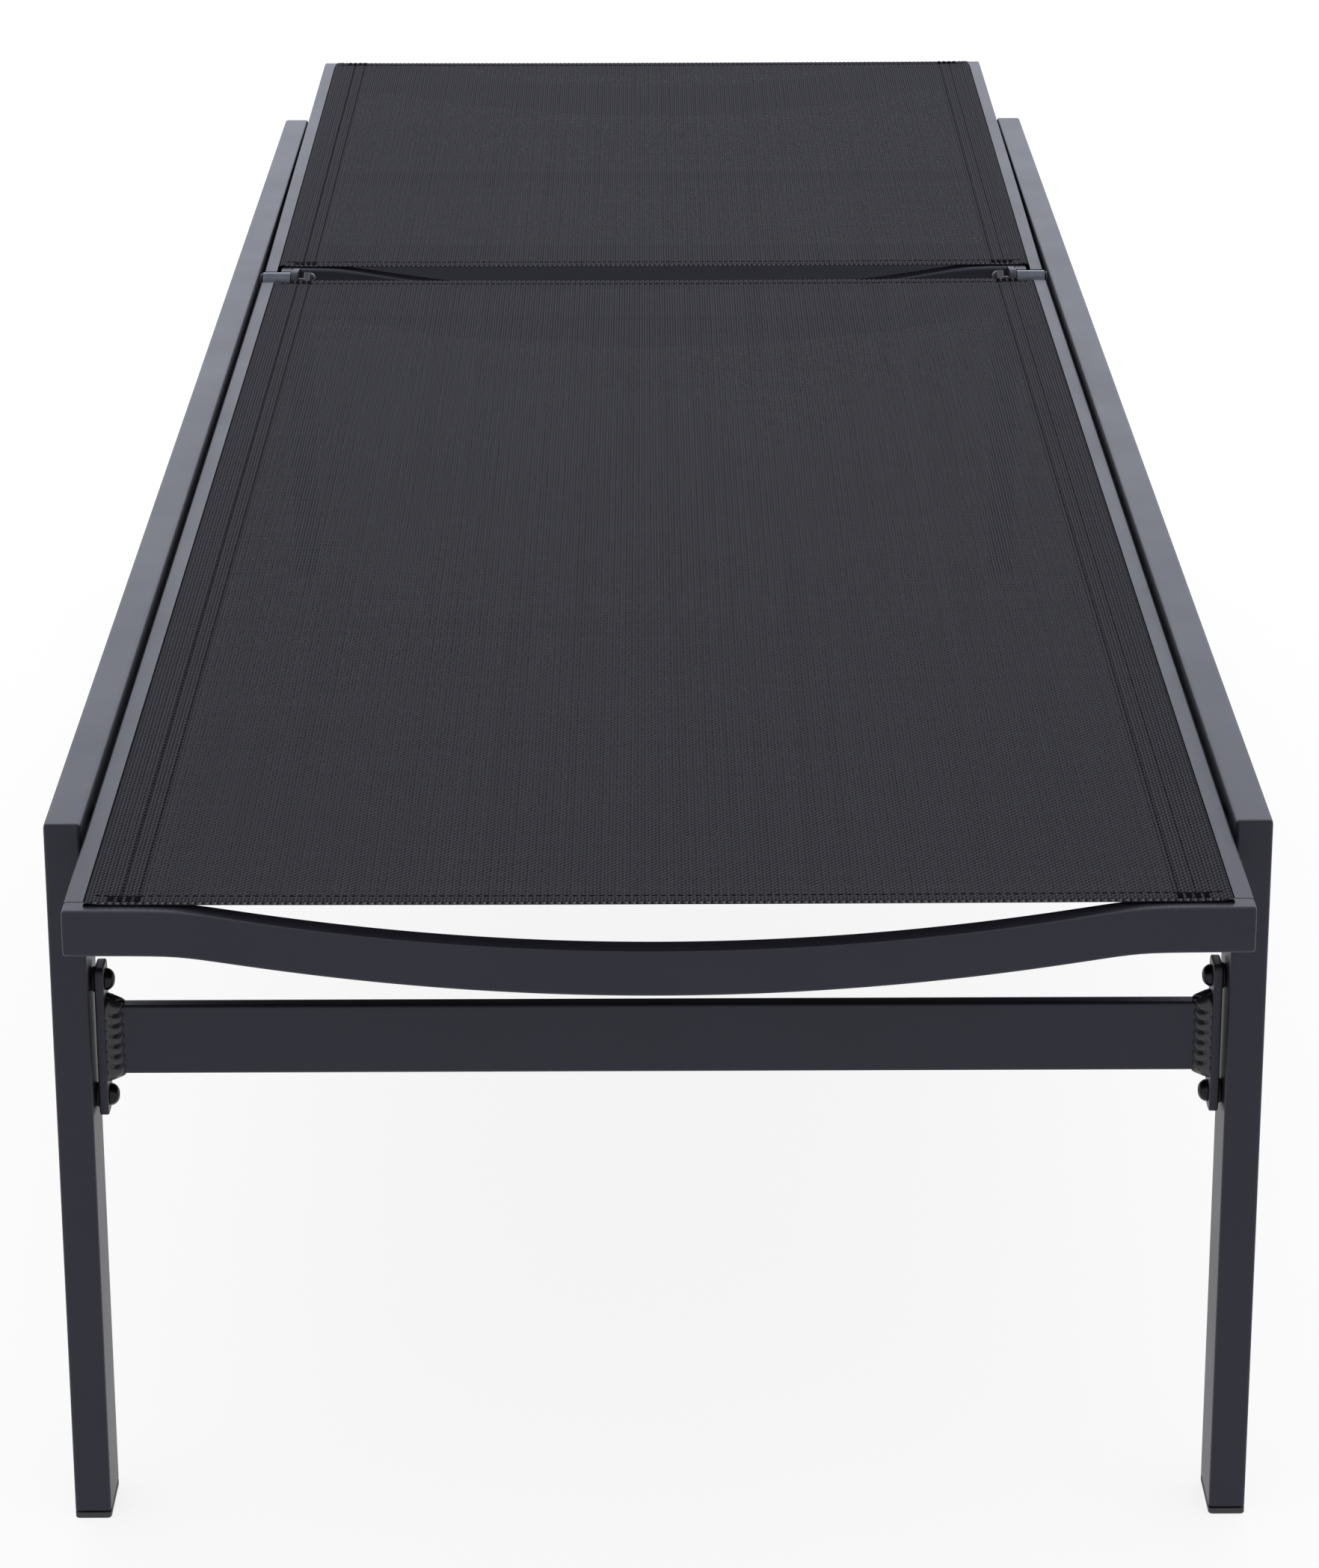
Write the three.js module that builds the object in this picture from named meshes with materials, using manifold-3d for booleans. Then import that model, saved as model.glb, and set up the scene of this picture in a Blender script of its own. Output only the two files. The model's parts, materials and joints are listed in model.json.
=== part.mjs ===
// A reclining sun lounger: an outer frame of rectangular tube, a seat frame and a backrest frame
// that each carry a stretched mesh sling, and a prop that holds the backrest up on notched racks.
// Millimetres. X runs across, Y from the foot end to the head end, Z up from the floor.
import * as THREE from "three";
import { mergeVertices } from "three/addons/utils/BufferGeometryUtils.js";
import Module from "manifold-3d";

// Overall sizes
const LENGTH = 1945;
const WIDTH = 650;
const RAIL_TOP = 415;

// Outer frame: rails and legs are one rectangular tube, mitred at the corners
const TUBE_WIDTH = 20;
const TUBE_DEPTH = 38;
const TUBE_WALL = 1.5;
const TUBE_RADIUS = 2;
const FOOT_OVERHANG = 102;
const HEAD_OVERHANG = 191;

// Foot caps
const PAD_HEIGHT = 3.5;
const PLUG_HEIGHT = 15;

// Stretchers between the legs, on bolted end plates
const STRETCHER_DEPTH = 10;
const STRETCHER_HEIGHT = 40;
const STRETCHER_DROP = 131;
const PLATE_THICKNESS = 5;
const PLATE_DEPTH = 20;
const PLATE_HEIGHT = 86;
const PLATE_RADIUS = 4;
const WASHER_THICKNESS = 1.6;
const WASHER_DIAMETER = 14;
const BOLT_SPACING = 68;
const BOLT_DIAMETER = 6;
const BOLT_HEAD_DIAMETER = 12;
const BOLT_HEAD_HEIGHT = 4.5;
const BOLT_REACH = 12;

// A button head's steps, as shares of its radius and its height
const BUTTON_TOP_SHARE = 0.45;
const BUTTON_SHOULDER_SHARE = 0.8;
const BUTTON_SHOULDER_HEIGHT = 0.75;
const BUTTON_RIM_HEIGHT = 0.25;

// Seat and backrest frames
const FRAME_GAP = 2;
const FRAME_DROP = 6;
const SIDE_WIDTH = 22;
const SIDE_HEIGHT = 25;
const SIDE_WALL = 1.6;
const SLOT_INSET = 10;
const SLOT_WIDTH = 3;
const BAR_DEPTH = 15;
const BAR_WALL = 1.5;
const BAR_BOW = 23;
const BAR_FLAT = 60;
const BAR_STEPS = 24;
const BAR_SMOOTHING = 0.1;
const SLING_THICKNESS = 1.5;
const SLING_LIFT = 0.5;
const SLING_SETBACK = 7.5;
const SEAT_BOLT_Y = 60;
const SEAT_BOLT_DIAMETER = 8;

// Hinge between the seat and the backrest
const HINGE_FROM_LEGS = 1136;
const HINGE_DROP = 5;
const HINGE_TUBE_GAP = 31;
const REST_TILT = 1.3;
const PIVOT_DIAMETER = 8;
const PIVOT_HEAD_DIAMETER = 16;
const PIVOT_HEAD_HEIGHT = 4;
const SLEEVE_DIAMETER = 17;
const LUG_THICKNESS = 5;
const LUG_RADIUS = 9;
const SEAT_LUG_TOP = 2.4;
const LUG_SPACING = 5;
const LUG_INSET = 2;
const INSERT_DIAMETER = 11;
const INSERT_FLANGE = 15;
const INSERT_REACH = 12;
const BACK_BAR_OFFSET = 22;
const SEAT_BAR_OFFSET = 19;
const BACK_SLING_OFFSET = 27;

// Prop and racks
const PROP_PIVOT = 220;
const PROP_PIVOT_DROP = 11.5;
const TOP_NOTCH = 243;
const PROP_BAR_HEIGHT = 16;
const PROP_BAR_THICKNESS = 4;
const PROP_ROD_DIAMETER = 10;
const RIVET_DIAMETER = 8;
const RIVET_HEAD_DIAMETER = 14;
const ROD_SINK = 2.5;
const RACK_WALL = 3;
const RACK_REACH = 17;
const RACK_LIP = 11;
const RACK_HEIGHT = 32;
const RACK_MARGIN = 18;
const RACK_DROP = 1;
const NOTCH_WIDTH = 12;
const NOTCH_DEPTH = 7;
const NOTCH_ANGLES = [0, 19, 34, 49, 64];

// Clearances
const GAP = 0.3;
const OVERRUN = 1;
const BOLT_CLEARANCE = 0.3;
const ROD_CLEARANCE = 1.5;

// Fineness of round shapes
const ROUND_SEGMENTS = 16;
const CORNER_SEGMENTS = 2;

// Places worked out from the sizes
const LEG_FRONT = -LENGTH / 2 + FOOT_OVERHANG;
const RAIL_END = LENGTH / 2 - HEAD_OVERHANG;
const INNER_FACE = WIDTH / 2 - TUBE_WIDTH;
const FRAME_HALF = INNER_FACE - FRAME_GAP;
const SIDE_INNER = FRAME_HALF - SIDE_WIDTH;
const FRAME_TOP = RAIL_TOP - FRAME_DROP;
const FRAME_BOTTOM = FRAME_TOP - SIDE_HEIGHT;
const HINGE_Y = LEG_FRONT + HINGE_FROM_LEGS;
const HINGE_Z = FRAME_TOP - HINGE_DROP;
const SIDE_MIDDLE = FRAME_TOP - SIDE_HEIGHT / 2;
const STRETCHER_Z = RAIL_TOP - STRETCHER_DROP;
const PLATE_OUTER = INNER_FACE - WASHER_THICKNESS - 2 * GAP;
const PLATE_INNER = PLATE_OUTER - PLATE_THICKNESS;
const SIDES = [["left", -1], ["right", 1]];
const ENDS = [["front", LEG_FRONT, 1], ["rear", RAIL_END, -1]];

const wasm = await Module();
wasm.setup();

const paint = { color: 0x35353c, roughness: 0.45, metalness: 0.1 };
const darkPaint = { color: 0x232328, roughness: 0.5, metalness: 0.1 };
const blackSteel = { color: 0x111113, roughness: 0.35, metalness: 0.6 };
const plastic = { color: 0x1a1a1c, roughness: 0.6, metalness: 0 };
const mesh = { color: 0x2c2c30, roughness: 0.8, metalness: 0 };

const lounger = new THREE.Group();
const backrest = new THREE.Group();
backrest.position.set(0, HINGE_Y, HINGE_Z);
backrest.rotation.x = THREE.MathUtils.degToRad(REST_TILT);
lounger.add(backrest);

function addPiece(name, geometry, finish, group = lounger) {
  const piece = new THREE.Mesh(geometry, new THREE.MeshStandardMaterial(finish));
  piece.name = name;
  group.add(piece);
}

// Booleans

function toSolid(geometry) {
  const bare = geometry.clone();
  bare.deleteAttribute("normal");
  bare.deleteAttribute("uv");
  const merged = mergeVertices(bare, 1e-4);
  return new wasm.Manifold(new wasm.Mesh({
    numProp: 3,
    vertProperties: merged.attributes.position.array,
    triVerts: new Uint32Array(merged.index.array),
  }));
}

function toGeometry(solid) {
  const result = solid.getMesh();
  const geometry = new THREE.BufferGeometry();
  geometry.setAttribute("position", new THREE.BufferAttribute(result.vertProperties, 3));
  geometry.setIndex(new THREE.BufferAttribute(result.triVerts, 1));
  return geometry;
}

function cut(geometry, tools) {
  return toGeometry(tools.reduce((solid, tool) => solid.subtract(toSolid(tool)), toSolid(geometry)));
}

function join(geometries) {
  return toGeometry(geometries.map(toSolid).reduce((solid, next) => solid.add(next)));
}

// Outlines

function roundedRectangle(Outline, width, height, radius) {
  const x = width / 2 - radius;
  const y = height / 2 - radius;
  const outline = new Outline();
  outline.absarc(x, y, radius, 0, Math.PI / 2);
  outline.absarc(-x, y, radius, Math.PI / 2, Math.PI);
  outline.absarc(-x, -y, radius, Math.PI, Math.PI * 1.5);
  outline.absarc(x, -y, radius, Math.PI * 1.5, Math.PI * 2);
  outline.closePath();
  return outline;
}

function tubeOutline(width, height, radius, wall) {
  const outline = roundedRectangle(THREE.Shape, width, height, radius);
  const inside = Math.max(radius - wall, wall / 3);
  outline.holes.push(roundedRectangle(THREE.Path, width - 2 * wall, height - 2 * wall, inside));
  return outline;
}

function polygon(points) {
  return new THREE.Shape(points.map(([x, y]) => new THREE.Vector2(x, y)));
}

// Extrusions. An outline's own x and y become the two axes that the extrusion doesn't run along.

function extrude(outline, length) {
  return new THREE.ExtrudeGeometry(outline, {
    depth: length, bevelEnabled: false, curveSegments: CORNER_SEGMENTS,
  });
}

function alongX(outline, from, to) {
  const basis = new THREE.Matrix4().makeBasis(
    new THREE.Vector3(0, 1, 0), new THREE.Vector3(0, 0, 1), new THREE.Vector3(1, 0, 0),
  );
  return extrude(outline, to - from).applyMatrix4(basis).translate(from, 0, 0);
}

function alongY(outline, from, to) {
  return extrude(outline, to - from).rotateX(Math.PI / 2).translate(0, to, 0);
}

function alongZ(outline, from, to) {
  return extrude(outline, to - from).translate(0, 0, from);
}

// Across one side of the lounger: from and to are distances from the middle, on the side of sign.
function acrossSide(outline, sign, from, to) {
  return alongX(outline, Math.min(sign * from, sign * to), Math.max(sign * from, sign * to));
}

function box(x, y, z) {
  return new THREE.BoxGeometry(x[1] - x[0], y[1] - y[0], z[1] - z[0])
    .translate((x[0] + x[1]) / 2, (y[0] + y[1]) / 2, (z[0] + z[1]) / 2);
}

// A round bar along X on one side, from one distance to another.
function roundBar(diameter, sign, from, to, y, z) {
  const length = Math.abs(to - from);
  return new THREE.CylinderGeometry(diameter / 2, diameter / 2, length, ROUND_SEGMENTS)
    .rotateZ(Math.PI / 2)
    .translate(sign * (from + to) / 2, y, z);
}

// A turned piece along X. The profile is [radius, distance from the middle] from end to end.
function turned(profile, sign, y, z) {
  const points = profile.map(([radius, x]) => new THREE.Vector2(radius, -sign * x));
  if (THREE.ShapeUtils.area(points) < 0) points.reverse();
  const geometry = new THREE.LatheGeometry(points, ROUND_SEGMENTS);
  return geometry.rotateZ(Math.PI / 2).translate(0, y, z);
}

// A box whose one face passes through a point, with everything on the side of the normal filled.
function halfSpace(x, y, z, normalY, normalZ) {
  const size = 4 * TUBE_DEPTH;
  const geometry = new THREE.BoxGeometry(size, size, size).translate(0, 0, size / 2);
  const turn = new THREE.Quaternion().setFromUnitVectors(
    new THREE.Vector3(0, 0, 1), new THREE.Vector3(0, normalY, normalZ).normalize(),
  );
  return geometry.applyQuaternion(turn).translate(x, y, z);
}

// How far a bowed bar has dropped at x: flat at its ends, then one even arc.
function bowDrop(x, half) {
  const arc = half - BAR_FLAT;
  const inside = arc * arc - x * x;
  const blend = BAR_SMOOTHING * arc * arc;
  return (BAR_BOW * (inside + Math.hypot(inside, blend))) / (2 * arc * arc);
}

// A bowed crossbar of rectangular tube, open at its ends, centred on x = 0.
function bowedBar(half, bowHalf, y, bottom) {
  const band = (reach, low, high) => {
    const top = [];
    const under = [];
    for (let i = 0; i <= BAR_STEPS; i++) {
      const x = reach * ((2 * i) / BAR_STEPS - 1);
      const drop = bowDrop(x, bowHalf);
      top.unshift([x, high - drop]);
      under.push([x, low - drop]);
    }
    return polygon([...under, ...top]);
  };
  const outer = alongY(band(half, bottom, bottom + SIDE_HEIGHT), y, y + BAR_DEPTH);
  const hollow = band(half + OVERRUN, bottom + BAR_WALL, bottom + SIDE_HEIGHT - BAR_WALL);
  return cut(outer, [alongY(hollow, y + BAR_WALL, y + BAR_DEPTH - BAR_WALL)]);
}

// A side tube with the sling's slot along its top. Its outer face is at x = outer.
function slottedTube(sign, from, to, bottom) {
  const outer = FRAME_HALF;
  const inner = outer - SIDE_WIDTH;
  const top = bottom + SIDE_HEIGHT;
  const slotOuter = outer - SLOT_INSET;
  const slotInner = slotOuter - SLOT_WIDTH;
  const outline = [
    [outer, bottom], [outer, top], [slotOuter, top], [slotOuter, top - SIDE_WALL],
    [outer - SIDE_WALL, top - SIDE_WALL], [outer - SIDE_WALL, bottom + SIDE_WALL],
    [inner + SIDE_WALL, bottom + SIDE_WALL], [inner + SIDE_WALL, top - SIDE_WALL],
    [slotInner, top - SIDE_WALL], [slotInner, top], [inner, top], [inner, bottom],
  ];
  return alongY(polygon(outline.map(([x, z]) => [sign * x, z])), from, to);
}

// Outer frame

function sideRail(sign) {
  const centre = sign * (WIDTH / 2 - TUBE_WIDTH / 2);
  const outline = tubeOutline(TUBE_WIDTH, TUBE_DEPTH, TUBE_RADIUS, TUBE_WALL);
  const rail = alongY(outline, LEG_FRONT, RAIL_END).translate(centre, 0, RAIL_TOP - TUBE_DEPTH / 2);
  const reach = INNER_FACE + 2 * TUBE_WALL;
  return cut(rail, [
    halfSpace(centre, LEG_FRONT + GAP, RAIL_TOP, -1, -1),
    halfSpace(centre, RAIL_END - GAP, RAIL_TOP, 1, -1),
    roundBar(INSERT_DIAMETER + 2 * BOLT_CLEARANCE, sign, INNER_FACE - OVERRUN, reach, HINGE_Y, HINGE_Z),
    roundBar(
      SEAT_BOLT_DIAMETER + 2 * BOLT_CLEARANCE, sign, INNER_FACE - OVERRUN, reach,
      LEG_FRONT + SEAT_BOLT_Y, SIDE_MIDDLE,
    ),
  ]);
}

function legMiddle(end, inward) {
  return end + (inward * TUBE_DEPTH) / 2;
}

function leg(sign, end, inward) {
  const centre = sign * (WIDTH / 2 - TUBE_WIDTH / 2);
  const outline = tubeOutline(TUBE_WIDTH, TUBE_DEPTH, TUBE_RADIUS, TUBE_WALL);
  const y = legMiddle(end, inward);
  const tube = alongZ(outline, PAD_HEIGHT + GAP, RAIL_TOP).translate(centre, y, 0);
  const holes = boltHeights().map((z) => roundBar(
    BOLT_DIAMETER + 2 * BOLT_CLEARANCE, sign, INNER_FACE - OVERRUN, INNER_FACE + TUBE_WALL + OVERRUN, y, z,
  ));
  return cut(tube, [halfSpace(centre, end - inward * GAP, RAIL_TOP, inward, 1), ...holes]);
}

function footCap(sign, end, inward) {
  const inset = 2 * (TUBE_WALL + GAP);
  const pad = alongZ(roundedRectangle(THREE.Shape, TUBE_WIDTH, TUBE_DEPTH, TUBE_RADIUS), 0, PAD_HEIGHT);
  const plugOutline = roundedRectangle(
    THREE.Shape, TUBE_WIDTH - inset, TUBE_DEPTH - inset, TUBE_RADIUS / 2,
  );
  const plug = alongZ(plugOutline, PAD_HEIGHT / 2, PLUG_HEIGHT);
  return join([pad, plug])
    .translate(sign * (WIDTH / 2 - TUBE_WIDTH / 2), legMiddle(end, inward), 0);
}

function boltHeights() {
  return [STRETCHER_Z - BOLT_SPACING / 2, STRETCHER_Z + BOLT_SPACING / 2];
}

function stretcher(end, inward) {
  const outline = tubeOutline(STRETCHER_DEPTH, STRETCHER_HEIGHT, TUBE_RADIUS, TUBE_WALL);
  const reach = PLATE_INNER - GAP;
  return alongX(outline, -reach, reach).translate(0, legMiddle(end, inward), STRETCHER_Z);
}

function endPlate(sign, end, inward) {
  const y = legMiddle(end, inward);
  const outline = roundedRectangle(THREE.Shape, PLATE_DEPTH, PLATE_HEIGHT, PLATE_RADIUS);
  const plate = acrossSide(outline, sign, PLATE_INNER, PLATE_OUTER).translate(0, y, STRETCHER_Z);
  return cut(plate, boltHeights().map((z) => roundBar(
    BOLT_DIAMETER + 2 * BOLT_CLEARANCE, sign, PLATE_INNER - OVERRUN, PLATE_OUTER + OVERRUN, y, z,
  )));
}

function washer(sign, y, z) {
  const bore = BOLT_DIAMETER / 2 + BOLT_CLEARANCE;
  const rim = WASHER_DIAMETER / 2;
  const near = PLATE_OUTER + GAP;
  const far = INNER_FACE - GAP;
  return turned([[bore, near], [rim, near], [rim, far], [bore, far], [bore, near]], sign, y, z);
}

// A button-head bolt whose head sits against the face at x = seat and whose shank runs to x = tip.
function buttonBolt(head, headHeight, shank, seat, tip, sign, y, z) {
  const away = Math.sign(seat - tip);
  return turned([
    [0, seat + away * headHeight],
    [(BUTTON_TOP_SHARE * head) / 2, seat + away * headHeight],
    [(BUTTON_SHOULDER_SHARE * head) / 2, seat + away * BUTTON_SHOULDER_HEIGHT * headHeight],
    [head / 2, seat + away * BUTTON_RIM_HEIGHT * headHeight],
    [head / 2, seat], [shank / 2, seat], [shank / 2, tip], [0, tip],
  ], sign, y, z);
}

for (const [side, sign] of SIDES) {
  addPiece(`side_rail_${side}`, sideRail(sign), paint);
  for (const [place, end, inward] of ENDS) {
    const y = legMiddle(end, inward);
    addPiece(`leg_${place}_${side}`, leg(sign, end, inward), paint);
    addPiece(`foot_cap_${place}_${side}`, footCap(sign, end, inward), plastic);
    addPiece(`end_plate_${place}_${side}`, endPlate(sign, end, inward), darkPaint);
    for (const [level, z] of boltHeights().entries()) {
      const tag = `${place}_${side}_${level ? "upper" : "lower"}`;
      addPiece(`washer_${tag}`, washer(sign, y, z), plastic);
      addPiece(`bolt_${tag}`, buttonBolt(
        BOLT_HEAD_DIAMETER, BOLT_HEAD_HEIGHT, BOLT_DIAMETER,
        PLATE_INNER - GAP, INNER_FACE + BOLT_REACH, sign, y, z,
      ), blackSteel);
    }
  }
}
for (const [place, end, inward] of ENDS) {
  addPiece(`stretcher_${place}`, stretcher(end, inward), darkPaint);
}

// Seat

const SEAT_FRONT = -LENGTH / 2;
const SEAT_REAR = HINGE_Y - HINGE_TUBE_GAP / 2;

function seatSideTube(sign) {
  const tube = slottedTube(sign, SEAT_FRONT + BAR_DEPTH + GAP, SEAT_REAR, FRAME_BOTTOM);
  return cut(tube, [roundBar(
    SEAT_BOLT_DIAMETER + 2 * BOLT_CLEARANCE, sign, SIDE_INNER - OVERRUN, FRAME_HALF + OVERRUN,
    LEG_FRONT + SEAT_BOLT_Y, SIDE_MIDDLE,
  )]);
}

function sling(from, to, top) {
  const reach = FRAME_HALF - SLOT_INSET;
  return box([-reach, reach], [from, to], [top + SLING_LIFT, top + SLING_LIFT + SLING_THICKNESS]);
}

// A lug is a plate with a round end on the pivot and a square end at y = reach from it.
function lug(sign, inner, reach, low, high, y, z) {
  const outline = new THREE.Shape();
  const way = Math.sign(reach);
  outline.moveTo(reach, high);
  outline.lineTo(0, LUG_RADIUS);
  outline.absarc(0, 0, LUG_RADIUS, Math.PI / 2, -Math.PI / 2, way < 0);
  outline.lineTo(reach, low);
  outline.closePath();
  const plate = acrossSide(outline, sign, inner, inner + LUG_THICKNESS);
  const hole = roundBar(
    PIVOT_DIAMETER + 2 * BOLT_CLEARANCE, sign, inner - OVERRUN, inner + LUG_THICKNESS + OVERRUN, 0, 0,
  );
  return cut(plate, [hole]).translate(0, y, z);
}

const BACK_LUG_INNER = SIDE_INNER - GAP - LUG_THICKNESS;
const SEAT_LUG_INNER = BACK_LUG_INNER - LUG_SPACING - LUG_THICKNESS;
const SEAT_BAR_REAR = HINGE_Y - SEAT_BAR_OFFSET;

for (const [side, sign] of SIDES) {
  addPiece(`seat_side_tube_${side}`, seatSideTube(sign), paint);
  addPiece(`seat_bolt_${side}`, buttonBolt(
    PIVOT_HEAD_DIAMETER, PIVOT_HEAD_HEIGHT, SEAT_BOLT_DIAMETER,
    SIDE_INNER - GAP, INNER_FACE + TUBE_WALL, sign, LEG_FRONT + SEAT_BOLT_Y, SIDE_MIDDLE,
  ), blackSteel);
  addPiece(`seat_lug_${side}`, lug(
    sign, SEAT_LUG_INNER, GAP - SEAT_BAR_OFFSET, -LUG_RADIUS, SEAT_LUG_TOP, HINGE_Y, HINGE_Z,
  ), paint);
}
addPiece("seat_front_bar", bowedBar(FRAME_HALF, FRAME_HALF, SEAT_FRONT, FRAME_BOTTOM), paint);
addPiece("seat_rear_bar", bowedBar(
  SIDE_INNER - GAP, FRAME_HALF, SEAT_BAR_REAR - BAR_DEPTH, FRAME_BOTTOM,
), paint);
addPiece("seat_sling", sling(SEAT_FRONT + SLING_SETBACK, SEAT_REAR, FRAME_TOP), mesh);

// Pivots: a bolt through the seat lug, the backrest lug and the sleeve into an insert in the rail

function pivotBolt(sign) {
  return buttonBolt(
    PIVOT_HEAD_DIAMETER, PIVOT_HEAD_HEIGHT, PIVOT_DIAMETER,
    SEAT_LUG_INNER - GAP, INNER_FACE + INSERT_REACH, sign, HINGE_Y, HINGE_Z,
  );
}

function pivotInsert(sign) {
  const bore = PIVOT_DIAMETER / 2 + BOLT_CLEARANCE;
  const rim = INSERT_FLANGE / 2;
  const body = INSERT_DIAMETER / 2;
  const near = FRAME_HALF + GAP;
  const face = INNER_FACE - GAP;
  const tip = INNER_FACE + INSERT_REACH;
  return turned(
    [[bore, near], [rim, near], [rim, face], [body, face], [body, tip], [bore, tip], [bore, near]],
    sign, HINGE_Y, HINGE_Z,
  );
}

function pivotSleeve(sign) {
  const bore = PIVOT_DIAMETER / 2 + BOLT_CLEARANCE;
  const rim = SLEEVE_DIAMETER / 2;
  const near = SIDE_INNER;
  const far = FRAME_HALF;
  return turned([[bore, near], [rim, near], [rim, far], [bore, far], [bore, near]], sign, 0, 0);
}

for (const [side, sign] of SIDES) {
  addPiece(`pivot_bolt_${side}`, pivotBolt(sign), blackSteel);
  addPiece(`pivot_insert_${side}`, pivotInsert(sign), blackSteel);
  addPiece(`pivot_sleeve_${side}`, pivotSleeve(sign), blackSteel, backrest);
}

// Backrest, drawn flat about the pivot and laid at its rest tilt by its group

const BACK_START = HINGE_TUBE_GAP / 2;
const BACK_END = LENGTH / 2 - HINGE_Y;
const BACK_TOP = FRAME_TOP - HINGE_Z;
const BACK_BOTTOM = FRAME_BOTTOM - HINGE_Z;

function backrestSideTube(sign) {
  const tube = slottedTube(sign, BACK_START, BACK_END - BAR_DEPTH - GAP, BACK_BOTTOM);
  return cut(tube, [roundBar(
    RIVET_DIAMETER + 2 * BOLT_CLEARANCE, sign, SIDE_INNER - OVERRUN, SIDE_INNER + 2 * SIDE_WALL,
    PROP_PIVOT, -PROP_PIVOT_DROP,
  )]);
}

function propRivet(sign) {
  const head = RIVET_HEAD_DIAMETER;
  return buttonBolt(
    head, PROP_BAR_THICKNESS / 2, RIVET_DIAMETER,
    SIDE_INNER - PROP_BAR_THICKNESS - 3 * GAP, SIDE_INNER + 2 * SIDE_WALL,
    sign, PROP_PIVOT, -PROP_PIVOT_DROP,
  );
}

for (const [side, sign] of SIDES) {
  addPiece(`backrest_side_tube_${side}`, backrestSideTube(sign), paint, backrest);
  addPiece(`backrest_lug_${side}`, lug(
    sign, BACK_LUG_INNER, BACK_BAR_OFFSET + BAR_DEPTH, BACK_BOTTOM + LUG_INSET, BACK_TOP - LUG_INSET, 0, 0,
  ), paint, backrest);
  addPiece(`prop_rivet_${side}`, propRivet(sign), blackSteel, backrest);
}
addPiece("backrest_lower_bar", bowedBar(
  BACK_LUG_INNER - GAP, FRAME_HALF, BACK_BAR_OFFSET, BACK_BOTTOM,
), paint, backrest);
addPiece("backrest_head_bar", bowedBar(
  FRAME_HALF, FRAME_HALF, BACK_END - BAR_DEPTH, BACK_BOTTOM,
), paint, backrest);
addPiece("backrest_sling", sling(BACK_SLING_OFFSET, BACK_END - SLING_SETBACK, BACK_TOP), mesh, backrest);

// Prop and racks. The rod runs level, just over the racks' lips, as the backrest rises.

const RACK_BOTTOM = FRAME_BOTTOM - RACK_DROP - RACK_HEIGHT;
const LIP_TOP = RACK_BOTTOM + RACK_LIP;
const ROD_Z = LIP_TOP + ROD_CLEARANCE + PROP_ROD_DIAMETER / 2 - HINGE_Z;
const RACK_OUTER = INNER_FACE - GAP;
const LIP_INNER = RACK_OUTER - RACK_REACH;

function propPivotAt(angle) {
  const turn = THREE.MathUtils.degToRad(angle);
  return new THREE.Vector2(PROP_PIVOT, -PROP_PIVOT_DROP).rotateAround(new THREE.Vector2(), turn);
}

// The prop is as long as it needs to be to reach the top notch with the backrest fully raised.
const TOP_PIVOT = propPivotAt(REST_TILT + Math.max(...NOTCH_ANGLES));
const PROP_LENGTH = Math.hypot(TOP_PIVOT.y - ROD_Z, TOP_NOTCH - TOP_PIVOT.x);

// How far behind the hinge the rod lies when the backrest stands at an angle.
function rodReach(angle) {
  const pivot = propPivotAt(angle);
  const rise = pivot.y - ROD_Z;
  return pivot.x + Math.sqrt(PROP_LENGTH ** 2 - rise ** 2);
}

function propFrame() {
  const pivot = propPivotAt(REST_TILT);
  const fall = Math.asin((ROD_Z - pivot.y) / PROP_LENGTH);
  const arms = SIDES.map(([, sign]) => {
    const outer = SIDE_INNER - 2 * GAP;
    const inner = outer - PROP_BAR_THICKNESS;
    const outline = new THREE.Shape();
    const half = PROP_BAR_HEIGHT / 2;
    outline.absarc(0, 0, half, Math.PI / 2, Math.PI * 1.5);
    outline.absarc(PROP_LENGTH, 0, half, -Math.PI / 2, Math.PI / 2);
    outline.closePath();
    const eye = roundBar(RIVET_DIAMETER + 2 * BOLT_CLEARANCE, sign, inner - OVERRUN, outer + OVERRUN, 0, 0);
    return cut(acrossSide(outline, sign, inner, outer), [eye]);
  });
  const reach = RACK_OUTER - RACK_WALL - ROD_SINK;
  const rod = roundBar(PROP_ROD_DIAMETER, 1, -reach, reach, PROP_LENGTH, 0);
  return join([...arms, rod])
    .rotateX(fall)
    .translate(0, HINGE_Y + pivot.x, HINGE_Z + pivot.y);
}

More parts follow.
